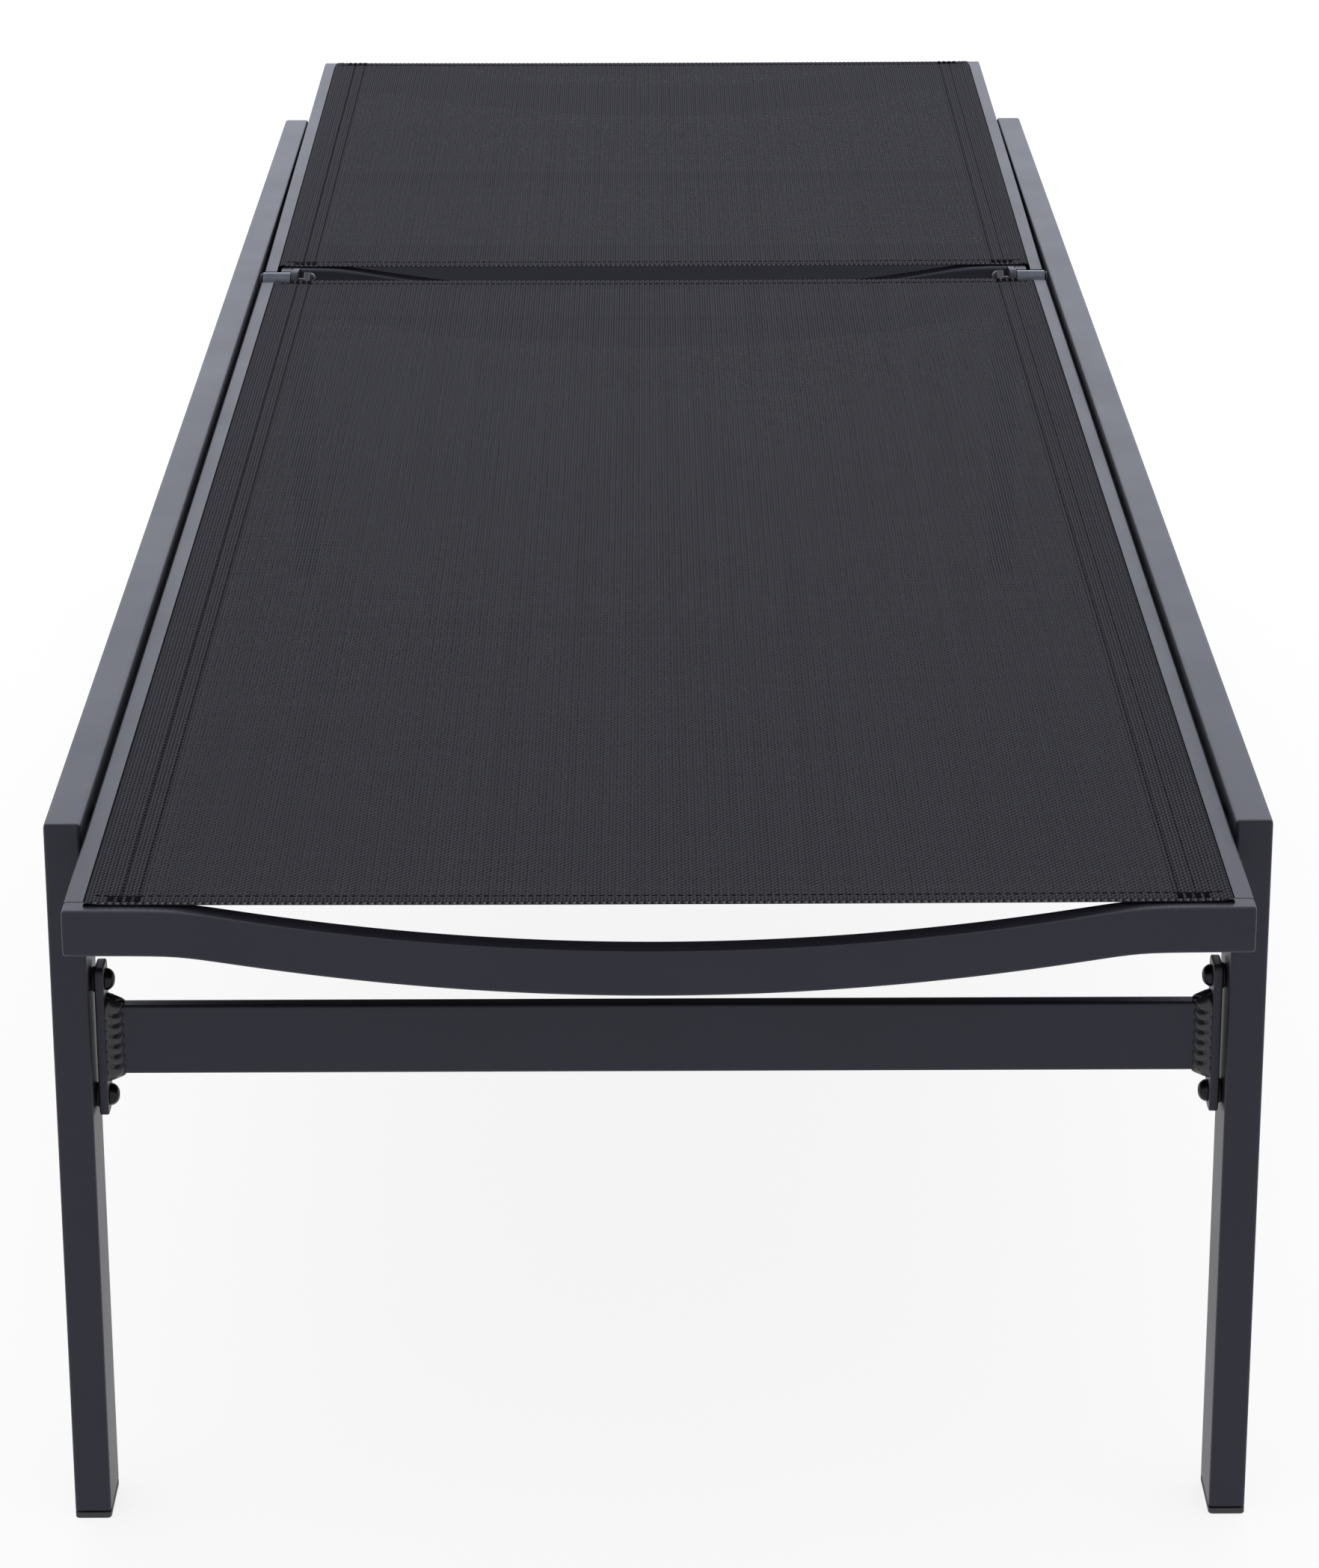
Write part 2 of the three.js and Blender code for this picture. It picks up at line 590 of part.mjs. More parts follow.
function rack(sign) {
  const reaches = NOTCH_ANGLES.map((angle) => rodReach(REST_TILT + angle));
  const from = HINGE_Y + Math.min(...reaches) - RACK_MARGIN;
  const to = HINGE_Y + Math.max(...reaches) + RACK_MARGIN;
  const top = RACK_BOTTOM + RACK_HEIGHT;
  const floor = RACK_BOTTOM + RACK_WALL;
  const web = RACK_OUTER - RACK_WALL;
  const lip = LIP_INNER + RACK_WALL;
  const section = [
    [RACK_OUTER, RACK_BOTTOM], [RACK_OUTER, top], [web, top], [web, floor],
    [lip, floor], [lip, LIP_TOP], [LIP_INNER, LIP_TOP], [LIP_INNER, RACK_BOTTOM],
  ];
  const channel = alongY(polygon(section.map(([x, z]) => [sign * x, z])), from, to);
  const notches = reaches.map((reach) => {
    const round = NOTCH_WIDTH / 2;
    const outline = new THREE.Shape();
    outline.absarc(0, round - NOTCH_DEPTH, round, Math.PI, Math.PI * 2);
    outline.lineTo(round, NOTCH_DEPTH);
    outline.lineTo(-round, NOTCH_DEPTH);
    outline.closePath();
    return acrossSide(outline, sign, LIP_INNER - OVERRUN, lip + OVERRUN).translate(0, HINGE_Y + reach, LIP_TOP);
  });
  return cut(channel, notches);
}

for (const [side, sign] of SIDES) {
  addPiece(`rack_${side}`, rack(sign), darkPaint);
}
addPiece("prop", propFrame(), darkPaint);

export default lounger;
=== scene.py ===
# %% [markdown]
# # A reclining sun lounger
# The lounger is an outer frame of powder-coated rectangular tube. A seat frame and a backrest frame
# hang inside it, and each holds a sheet of woven mesh stretched between two slotted side tubes.
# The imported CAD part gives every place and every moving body. This lesson builds the finished
# surfaces around it: softened tube edges, welds, screws, cloth, thread, and their materials.

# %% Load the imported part
import json
import math

import bmesh
import bpy
import numpy as np
from mathutils import Matrix, Vector


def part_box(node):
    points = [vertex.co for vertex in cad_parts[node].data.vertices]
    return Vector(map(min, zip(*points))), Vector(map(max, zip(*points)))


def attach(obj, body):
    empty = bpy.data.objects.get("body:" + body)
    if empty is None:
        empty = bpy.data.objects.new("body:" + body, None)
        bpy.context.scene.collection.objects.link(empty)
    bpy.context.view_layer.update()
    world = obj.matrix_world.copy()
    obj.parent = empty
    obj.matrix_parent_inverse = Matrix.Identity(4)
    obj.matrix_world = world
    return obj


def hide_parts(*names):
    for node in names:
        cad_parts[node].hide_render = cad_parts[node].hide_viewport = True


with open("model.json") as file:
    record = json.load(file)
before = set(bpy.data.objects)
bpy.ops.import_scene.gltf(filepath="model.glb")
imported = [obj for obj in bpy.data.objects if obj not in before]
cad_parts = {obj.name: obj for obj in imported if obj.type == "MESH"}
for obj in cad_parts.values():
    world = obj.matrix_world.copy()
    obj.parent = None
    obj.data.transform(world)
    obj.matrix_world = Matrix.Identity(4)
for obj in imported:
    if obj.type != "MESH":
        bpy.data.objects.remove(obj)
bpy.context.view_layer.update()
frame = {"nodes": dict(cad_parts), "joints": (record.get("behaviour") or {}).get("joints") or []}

MM = 0.001
scene = bpy.context.scene

# %% [markdown]
# ## Camera
# The view stands at the foot end, at the eye height of somebody sitting upright, and looks down the
# length of the lounger with a long lens. A long lens keeps the two rails from splaying. The small
# shift slides the picture on the film, so that the legs stay nearly upright although the camera
# looks down. A camera tilted without shift would make them lean more.

# %% Camera
camera_data = bpy.data.cameras.new("camera")
camera_data.sensor_width = 36
camera_data.lens = 100.83
camera_data.shift_y = -0.2
CAMERA_PLACE = (-0.0046, -3.0242, 1.2908)
camera = bpy.data.objects.new("camera", camera_data)
scene.collection.objects.link(camera)
LOOK_DOWN = math.radians(17.54)
LOOK_ASIDE = math.radians(-0.15)
LEAN = math.radians(-0.14)
camera.matrix_world = (
    Matrix.Translation(CAMERA_PLACE)
    @ Matrix.Rotation(LOOK_ASIDE, 4, "Z")
    @ Matrix.Rotation(math.pi / 2 - LOOK_DOWN, 4, "X")
    @ Matrix.Rotation(LEAN, 4, "Z")
)
scene.camera = camera
print("camera stands", CAMERA_PLACE[2], "m up and looks down", round(math.degrees(LOOK_DOWN), 1))

# %% [markdown]
# ## Colours and nodes
# Paint charts and web colours are sRGB hex, but a shader wants linear light, so one function turns
# one into the other. A second small function adds a node with its settings and its links at once,
# which keeps a material readable from top to bottom.

# %% Two helpers for materials
def linear(code):
    """An sRGB hex colour, such as "#35353c", as linear red, green, blue and alpha."""
    channels = [int(code[i:i + 2], 16) / 255 for i in (1, 3, 5)]
    return [c / 12.92 if c <= 0.04045 else ((c + 0.055) / 1.055) ** 2.4 for c in channels] + [1]


def add(tree, kind, inputs=None, **settings):
    """Adds a node. An input's value is a number, a colour, or another node's output to link."""
    made = tree.nodes.new(kind)
    for name, value in settings.items():
        setattr(made, name, value)
    for socket, value in (inputs or {}).items():
        if isinstance(value, bpy.types.NodeSocket):
            tree.links.new(value, made.inputs[socket])
        else:
            made.inputs[socket].default_value = value
    return made


def new_material(name):
    """An empty node material, its tree, and the place of each point in its object's coordinates."""
    material = bpy.data.materials.new(name)
    material.use_nodes = True
    tree = material.node_tree
    tree.nodes.clear()
    return material, tree, add(tree, "ShaderNodeTexCoord").outputs["Object"]


def shown_by(material, shader):
    """Ends a material: its shader is what the surface shows."""
    tree = material.node_tree
    add(tree, "ShaderNodeOutputMaterial", {"Surface": shader.outputs[0]})
    print(material.name, "has", len(tree.nodes), "nodes")


print("mid grey #808080 is", round(linear("#808080")[0], 3), "in linear light")

# %% [markdown]
# ## Powder coat
# The tubes are aluminium under an anthracite polyester powder coat, baked on at about 200 degrees.
# Baked powder never levels quite flat: it keeps a soft orange peel a millimetre or two across, and
# a fine grit. Its satin skin is what makes the tops of the rails so much lighter than their fronts:
# seen at a flat angle it mirrors the bright room. A painted tube could be one flat colour, but then
# a long rail looks like plastic, so slow changes of shade and gloss are mixed in.

# %% Powder-coated aluminium
powder_coat, tree, place = new_material("powder_coated_aluminium_anthracite")
shade = add(tree, "ShaderNodeTexNoise", {"Vector": place, "Scale": 1 / (70 * MM), "Detail": 3})
colour = add(tree, "ShaderNodeMix", {
    0: shade.outputs["Fac"], 6: linear("#18181f"), 7: linear("#1d1d26"),
}, data_type="RGBA")
# Orange peel is about 1.5 mm across, and the grit of the powder is drawn at 0.6 mm, which is
# coarser than the real tenth of a millimetre, so that it shows at all.
peel = add(tree, "ShaderNodeTexNoise", {"Vector": place, "Scale": 1 / (1.5 * MM), "Detail": 1})
grit = add(tree, "ShaderNodeTexNoise", {"Vector": place, "Scale": 1 / (0.6 * MM), "Detail": 0})
both = add(tree, "ShaderNodeMath", {0: grit.outputs["Fac"], 1: 0.5, 2: peel.outputs["Fac"]},
           operation="MULTIPLY_ADD")
relief = add(tree, "ShaderNodeBump", {
    "Strength": 0.35, "Distance": 0.03 * MM, "Height": both.outputs[0],
})
gloss = add(tree, "ShaderNodeMapRange", {
    "Value": shade.outputs["Fac"], "To Min": 0.36, "To Max": 0.46,
})
# Anthracite has blue pigment in it. The blue tint on the coat's mirrored light is painted:
# a painted cool cast that stands in for bluish studio light.
skin = add(tree, "ShaderNodeBsdfPrincipled", {
    "Base Color": colour.outputs[2], "Roughness": gloss.outputs["Result"],
    "Normal": relief.outputs["Normal"], "IOR": 1.5, "Specular IOR Level": 0.36,
    "Specular Tint": (0.8, 0.8, 0.98, 1),
})
shown_by(powder_coat, skin)

# %% [markdown]
# ## Weld under the coat
# The welds are painted over with the frame, so they are the same powder coat. Powder runs thinner
# on a ripple's crest and thicker in its valley, which leaves the valleys a touch glossier. Here the
# bead's gloss is even, and only a fine noise varies its colour and relief.

# %% Powder-coated weld
weld_coat, tree, place = new_material("powder_coated_weld_bead")
scale_marks = add(tree, "ShaderNodeTexNoise", {
    "Vector": place, "Scale": 1 / (1.2 * MM), "Detail": 2,
})
colour = add(tree, "ShaderNodeMix", {
    0: scale_marks.outputs["Fac"], 6: linear("#18181b"), 7: linear("#222227"),
}, data_type="RGBA")
relief = add(tree, "ShaderNodeBump", {
    "Strength": 0.5, "Distance": 0.1 * MM, "Height": scale_marks.outputs["Fac"],
})
skin = add(tree, "ShaderNodeBsdfPrincipled", {
    "Base Color": colour.outputs[2], "Roughness": 0.33, "Normal": relief.outputs["Normal"],
    "IOR": 1.5, "Specular IOR Level": 0.5,
})
shown_by(weld_coat, skin)

# %% [markdown]
# ## Black steel
# The screws are black-oxide steel, turned on a lathe and dipped. The oxide is a thin dark film on
# bright metal, so it is modelled as a metal with a dark tint and a low roughness. A black plastic
# would mirror far less at a steep angle, and the screws would lose their small bright edge.

# %% Black-oxide steel
black_steel, tree, place = new_material("black_oxide_turned_steel")
film = add(tree, "ShaderNodeTexNoise", {"Vector": place, "Scale": 1 / (3 * MM), "Detail": 3})
colour = add(tree, "ShaderNodeMix", {
    0: film.outputs["Fac"], 6: linear("#1b1b1d"), 7: linear("#303034"),
}, data_type="RGBA")
# Turning marks are rings a few hundredths of a millimetre apart, drawn at 0.5 mm.
marks = add(tree, "ShaderNodeTexNoise", {"Vector": place, "Scale": 1 / (0.5 * MM), "Detail": 0})
relief = add(tree, "ShaderNodeBump", {
    "Strength": 0.2, "Distance": 0.02 * MM, "Height": marks.outputs["Fac"],
})
gloss = add(tree, "ShaderNodeMapRange", {
    "Value": film.outputs["Fac"], "To Min": 0.22, "To Max": 0.38,
})
skin = add(tree, "ShaderNodeBsdfPrincipled", {
    "Base Color": colour.outputs[2], "Metallic": 1, "Roughness": gloss.outputs["Result"],
    "Normal": relief.outputs["Normal"],
})
shown_by(black_steel, skin)

# %% [markdown]
# ## Plated sleeve
# The sleeve that turns in the hinge is steel too, but plated dark and polished by its own movement,
# so it is a lighter metal than the screws and has no turning marks left.

# %% Dark-plated steel
sleeve_steel, tree, place = new_material("dark_plated_polished_steel")
wear = add(tree, "ShaderNodeTexNoise", {"Vector": place, "Scale": 1 / (5 * MM), "Detail": 4})
colour = add(tree, "ShaderNodeMix", {
    0: wear.outputs["Fac"], 6: linear("#3c4048"), 7: linear("#565a64"),
}, data_type="RGBA")
gloss = add(tree, "ShaderNodeMapRange", {
    "Value": wear.outputs["Fac"], "To Min": 0.18, "To Max": 0.3,
})
skin = add(tree, "ShaderNodeBsdfPrincipled", {
    "Base Color": colour.outputs[2], "Metallic": 1, "Roughness": gloss.outputs["Result"],
})
shown_by(sleeve_steel, skin)

# %% [markdown]
# ## Moulded plastic
# Foot caps and washers are injection-moulded black polypropylene. The mould is spark-eroded, which
# leaves a fine even grain, and that is what makes such plastic look dull next to the paint.

# %% Moulded black polypropylene
black_plastic, tree, place = new_material("moulded_black_polypropylene")
cloud = add(tree, "ShaderNodeTexNoise", {"Vector": place, "Scale": 1 / (12 * MM), "Detail": 2})
colour = add(tree, "ShaderNodeMix", {
    0: cloud.outputs["Fac"], 6: linear("#1e1e22"), 7: linear("#26262b"),
}, data_type="RGBA")
# The mould's grain is about 0.1 mm, drawn at 0.5 mm.
grain = add(tree, "ShaderNodeTexVoronoi", {"Vector": place, "Scale": 1 / (0.5 * MM)})
relief = add(tree, "ShaderNodeBump", {
    "Strength": 0.4, "Distance": 0.05 * MM, "Height": grain.outputs["Distance"],
})
skin = add(tree, "ShaderNodeBsdfPrincipled", {
    "Base Color": colour.outputs[2], "Roughness": 0.55, "Normal": relief.outputs["Normal"],
    "IOR": 1.49,
})
shown_by(black_plastic, skin)

# %% [markdown]
# ## Woven mesh
# The slings are polyester yarn coated in PVC and woven as a plain mesh: about 1.5 mm from yarn to
# yarn, with a pinhole of daylight left at each crossing of four yarns. Each thing the cloth does is
# one step below. Two sine waves are the yarns across and the yarns along. A chequer of the same
# pitch says which of the two is on top. The holes are where both waves are low. Where the cloth is
# folded double no daylight passes, so the hems use the same weave without the holes. The pitch is
# drawn at 1.9 mm, because at 1.5 mm the yarns are finer than the finished picture can hold.

# %% Woven mesh, single and double
YARN_PITCH = 1.9 * MM


def woven(name, open_share, light, dark):
    """The weave. open_share is how much of the waves' height counts as a hole."""
    material, tree, _ = new_material(name)
    place = add(tree, "ShaderNodeAttribute", attribute_name="cloth_place").outputs["Vector"]
    # A wave texture repeats every 2 pi / (20 x scale), and starts each yarn at a valley.
    wave_scale = 2 * math.pi / (20 * YARN_PITCH)
    along, across = [
        add(tree, "ShaderNodeTexWave", {
            "Vector": place, "Scale": wave_scale, "Phase Offset": -math.pi / 2,
        }, bands_direction=direction).outputs["Fac"]
        for direction in ("X", "Y")
    ]
    turn = add(tree, "ShaderNodeTexChecker", {
        "Vector": place, "Scale": 1 / YARN_PITCH, "Color1": (1, 1, 1, 1), "Color2": (0, 0, 0, 1),
    }).outputs["Fac"]
    height = add(tree, "ShaderNodeMix", {0: turn, 2: along, 3: across}, data_type="FLOAT")
    # Yarns aren't all alike. Noise stretched along the warp, and along the weft, makes a few of
    # them run lighter for a hand's width, which is the faint tartan that real mesh shows.
    runs = [
        add(tree, "ShaderNodeTexNoise", {
            "Vector": add(tree, "ShaderNodeVectorMath", {0: place, 1: stretch},
                          operation="MULTIPLY").outputs[0],
            "Scale": 1 / YARN_PITCH, "Detail": 0,
        }).outputs["Fac"]
        for stretch in ((1, 0.003, 1), (0.003, 1, 1))
    ]
    uneven = add(tree, "ShaderNodeMath", {0: runs[0], 1: runs[1]}, operation="ADD")
    # On the loom every second warp yarn is held tighter and lies deeper, so they alternate. Here
    # that depth is only painted: the deeper yarns get painted shade and less shine.
    proud = add(tree, "ShaderNodeTexWave", {
        "Vector": place, "Scale": wave_scale / 2,
    }, bands_direction="X").outputs["Fac"]
    lifted = add(tree, "ShaderNodeMath", {
        0: proud, 1: 0.08, 2: height.outputs[0],
    }, operation="MULTIPLY_ADD")
    shaded = add(tree, "ShaderNodeMath", {
        0: uneven.outputs[0], 1: 0.1, 2: lifted.outputs[0],
    }, operation="MULTIPLY_ADD")
    # The colour is painted shade and painted highlight: dark in the valleys between yarns and on
    # the deeper warp yarns, light on the crests, with the yarns' own uneven tone mixed in.
    painted_shade_and_tone = add(tree, "ShaderNodeMapRange", {
        "Value": shaded.outputs[0], "From Min": 0.07, "From Max": 1.17,
    })
    colour = add(tree, "ShaderNodeMix", {
        0: painted_shade_and_tone.outputs["Result"], 6: linear(dark), 7: linear(light),
    }, data_type="RGBA")
    # The valleys between yarns see no light to mirror, so the shine goes with the height.
    shine = add(tree, "ShaderNodeMapRange", {"Value": painted_shade_and_tone.outputs["Result"], "To Max": 0.01})
    relief = add(tree, "ShaderNodeBump", {
        "Strength": 0.7, "Distance": 0.4 * MM, "Height": height.outputs[0],
    })
    highest = add(tree, "ShaderNodeMath", {0: along, 1: across}, operation="MAXIMUM")
    yarn = add(tree, "ShaderNodeMath", {
        0: highest.outputs[0], 1: open_share,
    }, operation="GREATER_THAN")
    skin = add(tree, "ShaderNodeBsdfPrincipled", {
        "Base Color": colour.outputs[2], "Roughness": 0.5, "Normal": relief.outputs["Normal"],
        "IOR": 1.52, "Specular IOR Level": shine.outputs["Result"], "Alpha": yarn.outputs[0],
    })
    shown_by(material, skin)
    return material


mesh_cloth = woven("woven_pvc_coated_mesh", 0.007, "#3e3e44", "#141417")
double_cloth = woven("woven_pvc_coated_mesh_folded", -1, "#3e3e44", "#141417")
print("one yarn every", YARN_PITCH / MM, "mm")

# %% [markdown]
# ## Sewing thread
# The hems are sewn with bonded polyester thread, black and slightly shiny, three strands twisted.
# The twist is only a ripple of painted shade along the thread here, darker where the strands
# meet, because each stitch is under a millimetre thick.

# %% Bonded polyester thread
thread, tree, place = new_material("bonded_polyester_thread_black")
twist_shade = add(tree, "ShaderNodeTexWave", {"Vector": place, "Scale": 2 * math.pi / (20 * 0.8 * MM)},
            bands_direction="DIAGONAL")
colour = add(tree, "ShaderNodeMix", {
    0: twist_shade.outputs["Fac"], 6: linear("#08080a"), 7: linear("#111113"),
}, data_type="RGBA")
skin = add(tree, "ShaderNodeBsdfPrincipled", {
    "Base Color": colour.outputs[2], "Roughness": 0.6, "IOR": 1.57, "Specular IOR Level": 0.02,
})
shown_by(thread, skin)

# %% [markdown]
# ## The crests of the folded yarns
# Where the mesh is folded over at its short edges, every second yarn bends round the fold and
# stands proud of it. The bent coating is stretched smooth, so it shines more than the flat weave.
# Its colour is painted lighter than the weave's as well, a painted highlight: from a few steps away
# that is a dotted light line along the edge of the cloth.

# %% Yarn bent round a fold, with a painted highlight
fold_yarn_painted_highlight, tree, place = new_material("pvc_coated_yarn_round_a_fold_painted_highlight")
stretched = add(tree, "ShaderNodeTexNoise", {"Vector": place, "Scale": 1 / (4 * MM), "Detail": 1})
colour = add(tree, "ShaderNodeMix", {
    0: stretched.outputs["Fac"], 6: linear("#44444a"), 7: linear("#62626a"),
}, data_type="RGBA")
skin = add(tree, "ShaderNodeBsdfPrincipled", {
    "Base Color": colour.outputs[2], "Roughness": 0.4, "IOR": 1.52, "Specular IOR Level": 0.3,
})
shown_by(fold_yarn_painted_highlight, skin)

# %% [markdown]
# ## Making a piece
# Most of the lounger is one outline carried along a line: a tube, a bar, a plate, a screw. So one
# helper lofts faces through a list of rings, one eases the corners of an outline, and one turns
# points and faces into an object that rides on its CAD body and stands for its CAD nodes.
# Real tube has no sharp corner anywhere. The eased corners are what catch the thin bright lines
# along every edge, and normals weighted by face area keep the broad faces looking flat.

# %% Outlines, rings and pieces
def eased(outline, radius, steps=5):
    """A closed outline with its corners rounded, all by one radius or each by its own."""
    points = [np.array(point, float) for point in outline]
    result = []
    for i, (corner, size) in enumerate(zip(points, np.broadcast_to(radius, len(points)))):
        if size == 0:
            result.append(corner)
            continue
        back, on = points[i - 1] - corner, points[(i + 1) % len(points)] - corner
        start = corner + back * min(size / np.linalg.norm(back), 0.45)
        end = corner + on * min(size / np.linalg.norm(on), 0.45)
        for t in np.linspace(0, 1, steps + 1):
            result.append((1 - t) ** 2 * start + 2 * t * (1 - t) * corner + t * t * end)
    return np.array(result)


def rectangle(low_a, high_a, low_b, high_b, radius, steps=5):
    """An eased rectangle between two pairs of limits."""
    return eased(
        [(low_a, low_b), (high_a, low_b), (high_a, high_b), (low_a, high_b)], radius, steps,
    )


def loft(rings, ring_of_rings=False):
    """Points and faces through rings of equal length. Its ends are closed, unless the last ring
    runs on into the first."""
    rings = [np.asarray(ring, float) for ring in rings]
    count = len(rings[0])
    points = np.concatenate(rings)
    faces = []
    spans = len(rings) if ring_of_rings else len(rings) - 1
    for i in range(spans):
        low, high = i * count, ((i + 1) % len(rings)) * count
        for j in range(count):
            k = (j + 1) % count
            faces.append((low + j, low + k, high + k, high + j))
    if not ring_of_rings:
        faces.append(tuple(range(count))[::-1])
        faces.append(tuple(range(len(points) - count, len(points))))
    return points, faces


def merged(parts):
    """Several (points, faces) as one."""
    points, faces, start = [], [], 0
    for some_points, some_faces in parts:
        points.append(some_points)
        faces += [tuple(index + start for index in face) for face in some_faces]
        start += len(some_points)
    return np.concatenate(points), faces


def placed(name, data, body, material, stands_for, sharp):
    """An object for a mesh. It rides on a body, and the CAD nodes it stands for are hidden."""
    data.shade_smooth()
    data.set_sharp_from_angle(angle=math.radians(sharp))
    data.materials.append(material)
    made = bpy.data.objects.new(name, data)
    scene.collection.objects.link(made)
    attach(made, body)
    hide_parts(*stands_for)
    return made


def piece(name, shape, body, material, stands_for=(), sharp=50, weighted=True):
    """A finished piece from points and faces."""
    points, faces = shape
    data = bpy.data.meshes.new(name)
    data.from_pydata([tuple(point) for point in points], [], faces)
    edit = bmesh.new()
    edit.from_mesh(data)
    bmesh.ops.recalc_face_normals(edit, faces=edit.faces)
    edit.to_mesh(data)
    edit.free()
    made = placed(name, data, body, material, stands_for, sharp)
    if weighted:
        even = made.modifiers.new("flat_faces_stay_flat", "WEIGHTED_NORMAL")
        even.keep_sharp = True
    return made


def weld(name, shape, body="frame"):
    """A bead of weld, under the same powder coat as the tubes."""
    piece(name, shape, body, weld_coat, sharp=70, weighted=False)


def coated(name, shape, node, body="frame", sharp=50):
    """A powder-coated piece that stands for one CAD node."""
    piece(name, shape, body, powder_coat, [node], sharp)


def along_x(outline, stations):
    """Rings of a (y, z) outline at x stations. A station is (x, how far the outline is drawn in
    towards the middle).
    """
    middle = (outline.min(0) + outline.max(0)) / 2
    half = (outline.max(0) - outline.min(0)) / 2
    rings = []
    for x, inset in stations:
        scaled = middle + (outline - middle) * (1 - inset / half)
        rings.append(np.column_stack([np.full(len(scaled), x), scaled]))
    return rings


SIDES = {"left": -1, "right": 1}
ENDS = ("front", "rear")
print("helpers ready")

# %% [markdown]
# ## Rails and legs
# On each side one rail and two legs of the same tube are cut at 45 degrees, welded, and ground
# flush, so the joint hardly shows, but the outer corner keeps a small rounding from the grinder.
# A bevelled copy of the CAD could be used, but its corner arcs are coarse, so the tubes are lofted
# afresh between the same limits with finer corners, and the mitre's outermost line is eased.

# %% Rails and legs
TUBE_CORNER = 2.4 * MM
MITRE_EASE = 1.6 * MM
# The leg ends just above its foot cap's sole, which leaves the hairline of shadow between them.
CAP_SEAM = 1.2 * MM


def mitre(depth, deepest):
    """The two rings that round a mitred end, for points at a depth below the outer corner.
    Returns how far in the end ring lies, how far down it is pulled, and how far in the next is."""
    share = 1 - depth / deepest
    pulled = 0.3 * MITRE_EASE * share
    return depth + pulled, pulled, depth + MITRE_EASE * share


for side in SIDES:
    low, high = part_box(f"side_rail_{side}")
    outline = rectangle(low.x, high.x, low.z, high.z, TUBE_CORNER)
    depth = high.z - outline[:, 1]
    end_in, pulled, next_in = mitre(depth, high.z - low.z)
    rings = [
        np.column_stack([outline[:, 0], low.y + end_in, outline[:, 1] - pulled]),
        np.column_stack([outline[:, 0], low.y + next_in, outline[:, 1]]),
        np.column_stack([outline[:, 0], high.y - next_in, outline[:, 1]]),
        np.column_stack([outline[:, 0], high.y - end_in, outline[:, 1] - pulled]),
    ]
    coated(f"side_rail_{side}_tube", loft(rings), f"side_rail_{side}")
    for end in ENDS:
        leg_low, leg_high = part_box(f"leg_{end}_{side}")
        outline = rectangle(leg_low.x, leg_high.x, leg_low.y, leg_high.y, TUBE_CORNER)
        outer_y, inward = (leg_low.y, 1) if end == "front" else (leg_high.y, -1)
        depth = (outline[:, 1] - outer_y) * inward
        end_in, pulled, next_in = mitre(depth, leg_high.y - leg_low.y)
        foot = np.full(len(outline), leg_low.z + CAP_SEAM)
        rings = [
            np.column_stack([outline[:, 0], outline[:, 1] + inward * pulled, high.z - end_in]),
            np.column_stack([outline[:, 0], outline[:, 1], high.z - next_in]),
            np.column_stack([outline[:, 0], outline[:, 1], foot]),
        ]
        coated(f"leg_{end}_{side}_tube", loft(rings), f"leg_{end}_{side}")
print("rail", round((high.y - low.y) / MM), "mm long,", round((high.x - low.x) / MM), "mm wide")

# %% [markdown]
# ## Foot caps
# A foot cap is a plastic plug pushed up into the leg. Only its sole shows, as a thin dull band
# under the paint, with a hairline of shadow where the two meet. The sole's rim is rounded so that
# the lounger can be dragged. Each row of the profile is a height and how far the rim is drawn in,
# in millimetres: the rounded rim, the flat band, and the plug above it inside the leg.

# %% Foot caps
for side in SIDES:
    for end in ENDS:
        low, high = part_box(f"foot_cap_{end}_{side}")
        leg_low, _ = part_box(f"leg_{end}_{side}")
        outline = rectangle(low.x, high.x, low.y, high.y, TUBE_CORNER)
        middle, half = (outline.min(0) + outline.max(0)) / 2, np.ptp(outline, axis=0) / 2
        sole = [(0, 0.8), (0.2, 0.3), (0.7, 0), (3.5, 0), (3.7, 0.2), (3.7, 2.2), (9, 2.8)]
        rings = []
        for height, inset in sole:
            ring = middle + (outline - middle) * (1 - inset * MM / half)
            rings.append(np.column_stack([ring, np.full(len(ring), low.z + height * MM)]))
        piece(f"foot_cap_{end}_{side}_moulding", loft(rings), "frame", black_plastic,
              [f"foot_cap_{end}_{side}"])
print("sole band", round((leg_low.z + CAP_SEAM) / MM, 1), "mm high, seam included")

# %% [markdown]
# ## Stretchers and end plates
# A flat tube joins each pair of legs. It is welded to a plate at each end, and the plate is screwed
# to the leg, so that the lounger can be packed flat. The weld runs all round the tube's end, and
# each pulse of the welder leaves one ripple, like a row of leaning coins. The bead is a loft around
# the tube whose radius rises and falls once a ripple. Its middle lags behind its two edges, which
# bends every ripple into a crescent.

# %% Stretchers, end plates and their welds
RIPPLE = 6 * MM
BEAD_REACH = 9.5 * MM
BEAD_RISE = 4.4 * MM


